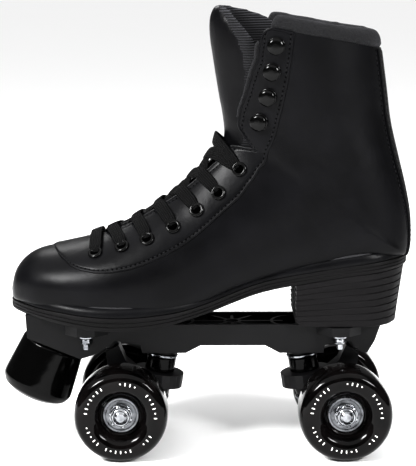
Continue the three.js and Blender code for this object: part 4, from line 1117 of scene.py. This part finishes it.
def buildLaces():
    heap = Heap()
    left, right = fittingFrames["eyelets", "left"], fittingFrames["eyelets", "right"]
    takeCrossing(heap, left[0], right[0], False, 0.8)
    for i in range(1, len(left)):
        lead = lace["lead"] * (i - 1) / (len(left) - 2)
        takeCrossing(heap, left[i], right[i - 1], True, 1.2, lead)
        takeCrossing(heap, right[i], left[i - 1], True, 0.0, lead)
    takeCrossing(heap, left[-1], right[-1], False, 1.6)
    heap.piece("flatLaces", laceCloth, "boot", "lace", ["laces"], 60, True)


buildLaces()
print("laces made")


def outlineAt(grow, count=288):
    # the sole's outline grown outwards, starting at the toe and going round by the outer side
    points = splineAt(sole["outline"], np.linspace(0, 24, count, endpoint=False), True)
    away = points - np.array([-15, 0])
    return points + away / np.linalg.norm(away, axis=1, keepdims=True) * grow


def takeSlab(heap, levels, count=288):
    # a slab from its wall's levels, each (outline growth, height as a function of x), bottom first
    rows = []
    for grow, height in levels:
        flat = outlineAt(grow, count)
        rows.append(np.column_stack([flat, height(flat[:, 0])]))
    faces = gridFaces(len(rows), count, False, True)
    for first, flip in ((0, False), ((len(rows) - 1) * count, True)):
        for j in range(count // 2):
            a, b = first + j, first + j + 1
            c, d = first + (count - j - 1) % count, first + (count - j) % count
            faces.append([a, b, c, d][:: -1 if flip else 1])
    heap.take(np.vstack(rows), faces)


def buildSole():
    # three plies: groove edges where two of them meet
    wall = [(0, -1.2), (0.12, -0.35), (0.3, 0.0), (0.34, -0.55), (0.38, 0.0), (0.6, 0.0), (0.64, -0.55),
            (0.68, 0.0), (0.9, 0.0), (0.97, -0.3), (1.0, -1.2)]
    levels = []
    for t, grow in wall:
        levels.append((grow, lambda x, t=t: soleUnder(x) + (soleTop(x) - soleUnder(x)) * t))
    heap = Heap()
    takeSlab(heap, levels)
    heap.piece("layeredSole", rubber, "boot", "sole_rubber", ["outsole"], 30)
    # the upper's turned-in edge, standing on the sole
    levels = [(grow, lambda x, rise=rise: soleTop(x) + rise) for grow, rise in sole["welt"]]
    heap = Heap()
    takeSlab(heap, levels)
    heap.piece("leatherWelt", leather, "boot", "leather", (), 40)


heel = {"front": 37.5, "layers": 8, "groove": 0.75, "inset": 1.7, "lean": 4.8}


def buildHeel():
    foot = deck + skate["sheetGap"]

    def top(x):
        return soleUnder(x) - skate["sheetGap"]

    def frontAt(t):
        return heel["front"] - 0.8 + 7.4 * max(0.0, 1 - t * 5) ** 1.4

    share = [(0.0, 0.8)]
    for k in range(heel["layers"]):
        low, high = k / heel["layers"], (k + 1) / heel["layers"]
        share += [(low + 0.012, 0.0), (high - 0.016, 0.0),
                  (high - 0.006, heel["groove"]), (high, heel["groove"])]
    rows, count = [], 288
    for t, groove in share:
        lean = (1 - t) * heel["lean"]  # the back of the heel runs in towards its foot
        flat = outlineAt(-heel["inset"] - groove, count)
        back = np.clip((flat[:, 0] - 60) / 48, 0, 1)
        flat[:, 0] -= back * back * lean
        front = frontAt(t) + groove * 0.15
        inside = flat[:, 0] < front
        flat[inside, 0] = front
        x = flat[:, 0]
        curve = np.clip((x - 55) / 50, 0, 1) ** 2 * 1.5 * (1 - t)
        z = foot + (top(np.minimum(x, 108)) - foot) * t + curve * t * (1 - t) * 4
        rows.append(np.column_stack([flat, z]))
    stack = np.array(rows)
    fronts = np.array([frontAt(t) + groove * 0.15 for t, groove in share])
    inside = np.all(stack[:, :, 0] <= fronts[:, None] + 0.01, axis=0)
    keepers = np.where(~inside)[0]
    stack = stack[:, keepers]
    # the front wall is flat: its points spread evenly across
    across = np.linspace(0, 1, 24)[1:-1]
    joined = []
    for row in stack:
        start, end = row[-1], row[0]
        bridge = start[None, :] + (end - start)[None, :] * across[:, None]
        joined.append(np.vstack([row, bridge]))
    joined = np.array(joined)
    count = joined.shape[1]
    heap = Heap().take(joined.reshape(-1, 3), tubeFaces(len(joined), count))
    heap.piece("stackedHeel", heelRubber, "boot", "sole_rubber", ["heel_stack"], 24)


def buildFootbed():
    # the felt insole: follows the sole inside the boot's wall, crowned and rolled at its edge
    count = 200
    low = skate["sheetGap"] * 2 + boot["wall"] + 0.1
    levels = [(-5.2, lambda x: soleTop(x) + low), (-4.6, lambda x: soleTop(x) + low + 0.9),
              (-5.0, lambda x: soleTop(x) + low + 2.6), (-7.5, lambda x: soleTop(x) + low + 3.2)]
    heap = Heap()
    takeSlab(heap, levels, count)
    heap.piece("feltInsole", footbed, "boot", "lining", ["insole"], 40)


buildSole()
buildHeel()
buildFootbed()
print("sole, heel and footbed made")

wheel = {
    "track": 72.0,
    "section": [  # radius, across, from the hub's web out over the tread
        (9.2, 1.0), (11.3, 1.0), (11.3, 8.3), (12.5, 8.7), (13.6, 10.6), (14.9, 12.6), (15.9, 13.9),
        (17.2, 14.9), (19.2, 15.55), (21.6, 15.8), (24.0, 15.6), (26.0, 14.9), (27.6, 13.4), (28.6, 10.9),
        (29.0, 7.0),
    ],
    "sides": 144,
    "markRadius": 21.6,
    "faceHeight": 15.8,
    "markLift": 0.08,
    "marks": "bdbbdb..dbbd...bbdbdbb..dbdbb.bdbbdb..dbb...",  # bars, dots and spaces round the face
    "markSizes": {"b": (0.34, 1.0, 12), "d": (0.48, 0.48, 24)},  # half width, half height, corners
}
bearing = {
    "offset": 4.8,  # of its middle from the wheel's
    "section": [(4.3, -3.5), (6.1, -3.5), (6.15, -3.0), (9.3, -3.05), (9.5, -3.5), (11, -3.5),
                (11, 3.5), (9.5, 3.5), (9.3, 3.05), (6.15, 3.0), (6.1, 3.5), (4.3, 3.5)],
}
axleNut = {
    "seat": 8.6,  # from the wheel's middle
    "washer": [(4.3, 0), (7.3, 0), (7.3, 1.0), (4.3, 1.0)],
    "hexagon": {"flats": 12.8, "low": 1.0, "high": 4.7, "bore": 4.3, "chamfer": 1.1},
    "crown": [(4.3, 4.4), (5.9, 4.4), (5.8, 5.4), (5.0, 6.15), (4.3, 6.15)],
}


def buildWheel(place, axle, side):
    centre = Vector((axle.x - skate["shift"], side * wheel["track"] / 2, axle.z))
    half = eased(wheel["section"], 0.7, False, 3)
    mirrored = [(r, -t) for r, t in half[::-1]]
    profile = half + mirrored
    body = f"{place}_wheel"
    Heap().take(*placed(turned(profile, wheel["sides"]), centre)).piece(
        f"castWheel_{place}", urethane, body, "urethane", [f"wheel_{place}"], 38)
    heap = Heap()
    for k, mark in enumerate(wheel["marks"]):
        if mark == ".":
            continue
        angle = 2 * math.pi * k / len(wheel["marks"])
        out = Vector((math.cos(angle), 0, math.sin(angle)))
        along = Vector((-math.sin(angle), 0, math.cos(angle)))
        wide, tall, corners = wheel["markSizes"][mark]
        shape = []
        for a in fractions(corners):
            ca, sa = math.cos(a), math.sin(a)
            if mark == "b":
                ca, sa = softPower(ca, 0.4), softPower(sa, 0.4)
            shape.append(out * (wheel["markRadius"] + sa * tall) + along * ca * wide)
        n = len(shape)
        top = wheel["faceHeight"] + wheel["markLift"]
        points = [centre + p + Vector((0, side * h, 0)) for h in (top - 0.3, top) for p in shape]
        heap.take(points, gridFaces(2, n, False, True) + [[n + i for i in range(n)]])
    heap.piece(f"faceMarks_{place}", padPrint, body, "urethane", (), 60)
    rings = turned(eased(bearing["section"], 0.3), 96)
    for name, out in (("outer", 1), ("inner", -1)):
        spot = centre + Vector((0, side * out * bearing["offset"], 0))
        # the bearings' steel is darkened: painted shade of the hub's recess
        Heap().take(*placed(rings, spot)).piece(
            f"ballBearing_{name}_{place}", shadedBearingSteel, body, "bearing_steel",
            [f"bearing_{name}_{place}"], 40)
    truck = place.split("_")[0] + "_truck"
    seat, outwards = centre + Vector((0, side * axleNut["seat"], 0)), (0, side, 0)
    nut = Heap()
    nut.take(*placed(turned(eased(axleNut["washer"], 0.35), 64), seat, outwards))
    nut.take(*placed(hexTurned(**axleNut["hexagon"]), seat, outwards, 0.3 * side))
    nut.take(*placed(turned(eased(axleNut["crown"], 0.5), 64), seat, outwards))
    nut.piece(f"lockNut_{place}", steel, truck, "steel", [f"axle_nut_{place}"], 35)


axleRod = {
    "radius": 4.0, "tip": 51.7, "chamfer": 1.2,
    "turns": 9, "pitch": 0.8, "crest": 3.95, "root": 3.6, "plainFrom": 44.0,  # its rolled thread
    "sleeve": (37.0, 35.0, 5.2),  # outer end, inner end, radius of the spacer between the bearings
}


def buildAxle(end, axle):
    x, z = axle.x - skate["shift"], axle.z
    radius, tip, pitch = axleRod["radius"], axleRod["tip"], axleRod["pitch"]
    profile = [(0, -tip), (2.6, -tip), (3.9, -tip + axleRod["chamfer"])]
    for k in range(axleRod["turns"]):
        t = -tip + 1.6 + k * pitch
        profile += [(axleRod["crest"], t), (axleRod["root"], t + pitch / 2)]
    outer, inner, wide = axleRod["sleeve"]
    profile += [(radius, -axleRod["plainFrom"]), (radius, -outer), (wide, -outer), (wide, -inner),
                (radius, -inner)]
    whole = profile + [(r, -t) for r, t in profile[::-1]]
    Heap().take(*placed(turned(whole, 48, False), (x, 0, z))).piece(
        f"axleRod_{end}", steel, f"{end}_truck", "steel", [f"axle_{end}"], 30)


for end, axle in (("front", frontAxle), ("rear", rearAxle)):
    buildAxle(end, axle)
    for name, side in (("left", -1), ("right", 1)):
        buildWheel(f"{end}_{name}", axle, side)
print("wheels made")

truck = {
    "kingpinTop": (24.8, 29.5), "kingpinLean": 9.2,  # from the axle, inboard and up
    "pivot": (-9.5, 39.0), "pivotLean": 25.0,
    "bore": 4.3,  # round the kingpin
    # depths below the kingpin's top of each one's upper and lower end, then its radii
    "washers": {"upper": (0.0, 1.8, 10.2), "lower": (27.7, 29.5, 8.6)},
    "cushions": {"upper": (2.1, 11.3, 9.5, 9.5), "lower": (20.5, 27.4, 9.2, 7.2)},
    "nut": (29.8, 36.2, 13.0),
    "pivotSection": [(0, 5.9), (3.4, 4.8), (5.3, 2.4), (5.9, 0), (5.9, -3.5), (7.7, -3.5), (7.7, 5.9),
                     (6.1, 7.7), (0, 7.7)],
}


class TruckFrame:
    # a truck's own frame: inboard and up from its axle, mirrored for the rear one

    def __init__(self, axle, direction):
        self.axle, self.direction = axle, direction
        lean = math.radians(truck["kingpinLean"])
        self.up = Vector((math.sin(lean) * direction, 0, math.cos(lean)))
        self.top = self.at(*truck["kingpinTop"])
        lean = math.radians(truck["pivotLean"])
        self.pivotUp = Vector((-math.sin(lean) * direction, 0, math.cos(lean)))
        self.pivot = self.at(*truck["pivot"])

    def at(self, inboard, above):
        return Vector((self.axle.x - skate["shift"] + self.direction * inboard, 0, self.axle.z + above))

    def down(self, depth):
        return self.top - self.up * depth


def buildTruck(end, axle, direction):
    own, moving, bore = TruckFrame(axle, direction), f"{end}_truck", truck["bore"]
    for name, (top, foot, radius) in truck["washers"].items():
        cup = eased([(bore, -foot), (radius - 0.6, -foot), (radius, -foot + 0.3), (radius, -top),
                     (bore, -top)], 0.5)
        Heap().take(*placed(turned(cup, 96), own.top, own.up)).piece(
            f"cupWasher_{name}_{end}", steel, "boot", "steel", [f"washer_{name}_{end}"], 40)
    for name, (top, foot, wide, narrow) in truck["cushions"].items():
        profile = eased([(bore, -foot), (narrow, -foot), (wide, -top), (bore, -top)], 0.9)
        cushion = Heap().take(*placed(turned(profile, 96), own.top, own.up)).piece(
            f"steeringCushion_{name}_{end}", cushionUrethane, None, "black_rubber", (), 40)
        first, second = world(own.down(top)), world(own.down(foot))
        if name == "upper":
            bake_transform(cushion)
        else:
            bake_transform(cushion)
        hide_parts(f"cushion_{name}_{end}")
    top, foot, flats = truck["nut"]
    nut = Heap().take(*placed(hexTurned(flats, -foot, -top, bore, 1.2), own.top, own.up, 0.35))
    nut.piece(f"kingpinLockNut_{end}", steel, "boot", "steel", [f"kingpin_nut_{end}"], 35)
    cup = eased(truck["pivotSection"], 0.5, False)
    Heap().take(*placed(turned(cup, 64, False), own.pivot, own.pivotUp)).piece(
        f"pivotSocket_{end}", cushionUrethane, "boot", "black_rubber", [f"pivot_cup_{end}"], 40)


buildTruck("front", frontAxle, 1)
buildTruck("rear", rearAxle, -1)

stop = {
    "lean": 22.5, "middle": (-113.4, -14.8), "height": 37.4,
    "across": 0.88,  # its width against its length
    "gap": 0.3,      # under the plate
    "section": [  # radius, height from its foot
        (6.9, 10.6), (8.9, 10.4), (8.9, 1.0), (10.2, 0), (15.5, 0.5), (20.8, 3.2), (23.2, 7.6), (23.0, 11),
    ],
    "shoulder": [(20.3, -2.4), (18.4, -0.35), (4.3, -0.35)],  # radius, height from the plate
    "bolt": {"flats": 12.1, "height": 5.3, "head": 9.7},
}
stopUp = Vector((math.sin(math.radians(stop["lean"])), 0, math.cos(math.radians(stop["lean"]))))
stopSeat = Vector((stop["middle"][0], 0, deck + stop["middle"][1]))


def buildStop():
    foot = -stop["gap"] - stop["height"]
    profile = [(r, foot + h) for r, h in stop["section"]] + stop["shoulder"]
    profile.append((stop["shoulder"][-1][0], foot + stop["section"][0][1]))
    Heap().take(*placed(turned(eased(profile, 1.4), 128, True, stop["across"]), stopSeat, stopUp)).piece(
        "toeStopRubber", cushionUrethane, "boot", "black_rubber", ["toe_stop"], 40)
    bolt = stop["bolt"]
    head = foot + bolt["head"]
    shape = hexTurned(bolt["flats"], head - bolt["height"], head, 0.001)
    Heap().take(*placed(shape, stopSeat, stopUp)).piece(
        "toeStopBolt", steel, "boot", "steel", ["toe_stop_bolt"], 35)


plateNut = {
    "along": {"front": -91.5, "rear": 66.7}, "across": 25.2,
    "washer": [(2.3, -1.2), (4.7, -1.2), (4.7, 0), (2.3, 0)],
    "hexagon": {"flats": 7.2, "low": -4.2, "high": -1.2, "bore": 2.3, "chamfer": 0.7},
    "crown": [(2.3, -5.2), (3.1, -5.2), (3.4, -4.4), (3.4, -4.0), (2.3, -4.0)],
}


def buildNuts():
    upwards = (0, 0, 1)
    for end, x in plateNut["along"].items():
        for name, side in (("left", -1), ("right", 1)):
            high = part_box(f"mount_nut_{end}_{name}")[1]
            seat = Vector((x, side * plateNut["across"], high.z * 1000))
            nut = Heap()
            nut.take(*placed(turned(eased(plateNut["washer"], 0.3), 48), seat, upwards))
            nut.take(*placed(hexTurned(**plateNut["hexagon"]), seat, upwards, 0.5))
            nut.take(*placed(turned(eased(plateNut["crown"], 0.25), 40), seat, upwards))
            nut.piece(f"plateNut_{end}_{name}", steel, "boot", "steel", [f"mount_nut_{end}_{name}"], 35)


buildStop()
buildNuts()

# pieces whose shape is final already get their finish and a soft edge
plainPieces = {"baseplate": nylon, "hanger_front": nylon, "hanger_rear": nylon}
for end in ("front", "rear"):
    for node in (f"kingpin_{end}", f"mount_bolt_{end}_left", f"mount_bolt_{end}_right"):
        plainPieces[node] = steel
softEdge = {"width": 0.4, "segments": 2, "angle": 35}

for node, finish in plainPieces.items():
    piece = frame["nodes"][node]
    piece.data.materials.clear()
    piece.data.materials.append(finish)
    edge = piece.modifiers.new("softEdge", "BEVEL")
    edge.width, edge.segments = softEdge["width"] / 1000, softEdge["segments"]
    edge.limit_method, edge.angle_limit = "ANGLE", math.radians(softEdge["angle"])
    edge.use_clamp_overlap = True
print("trucks, plate and toe stop made")

view = {"place": (-0.0057, -1.050, 0.31095), "down": 9.481, "turn": -0.382, "lens": 129.95}
light = {
    "gamma": 0.86, "surround": 0.14,
    "overhead": {"strength": 3.0, "spread": 100, "turn": (12, -10, 0)},
    "aim": (0, 0, 0.13),
    "softboxes": {  # place and size in metres, power in watts
        "softboxLeft": ((-0.95, -0.75, 0.95), (0.4, 0.4), 52.0),
        "softboxRight": ((0.85, -0.85, 0.75), (0.35, 0.4), 24.0),
        "softboxBack": ((-0.3, 1.1, 0.9), (0.5, 0.4), 4.0),
    },
}


def studio():
    camera = bpy.data.objects.new("camera", bpy.data.cameras.new("camera"))
    bpy.context.collection.objects.link(camera)
    camera.location = view["place"]
    camera.rotation_euler = [math.radians(90 - view["down"]), 0, math.radians(view["turn"])]
    camera.data.lens, camera.data.sensor_width = view["lens"], 36
    camera.data.clip_start, camera.data.clip_end = 0.01, 50
    bpy.context.scene.camera = camera

    floor = bpy.data.meshes.new("floor")
    work = bmesh.new()
    bmesh.ops.create_grid(work, x_segments=1, y_segments=1, size=40)
    work.to_mesh(floor)
    work.free()
    floor.materials.append(plainFinish("paperFloor", "#f4f4f4", 0.8, 4, 0.02))
    ground = bpy.data.objects.new("floor", floor)
    ground.location = (0, 0, -0.0002)
    bpy.context.collection.objects.link(ground)

    bpy.context.scene.view_settings.view_transform = "Standard"
    bpy.context.scene.view_settings.gamma = light["gamma"]
    surround = bpy.data.worlds.new("studio")
    surround.use_nodes = True
    back = surround.node_tree.nodes["Background"]
    back.inputs["Color"].default_value = (1, 1, 1, 1)
    back.inputs["Strength"].default_value = light["surround"]
    bpy.context.scene.world = surround

    sun = bpy.data.lights.new("overheadSoft", "SUN")
    sun.energy, sun.angle = light["overhead"]["strength"], math.radians(light["overhead"]["spread"])
    overhead = bpy.data.objects.new("overheadSoft", sun)
    overhead.rotation_euler = [math.radians(v) for v in light["overhead"]["turn"]]
    bpy.context.collection.objects.link(overhead)
    for name, (place, size, power) in light["softboxes"].items():
        lamp = bpy.data.lights.new(name, "AREA")
        lamp.shape, lamp.size, lamp.size_y, lamp.energy = "RECTANGLE", *size, power
        softbox = bpy.data.objects.new(name, lamp)
        softbox.location = place
        softbox.rotation_euler = (Vector(light["aim"]) - Vector(place)).to_track_quat("-Z", "Y").to_euler()
        bpy.context.collection.objects.link(softbox)


studio()
print("studio made")
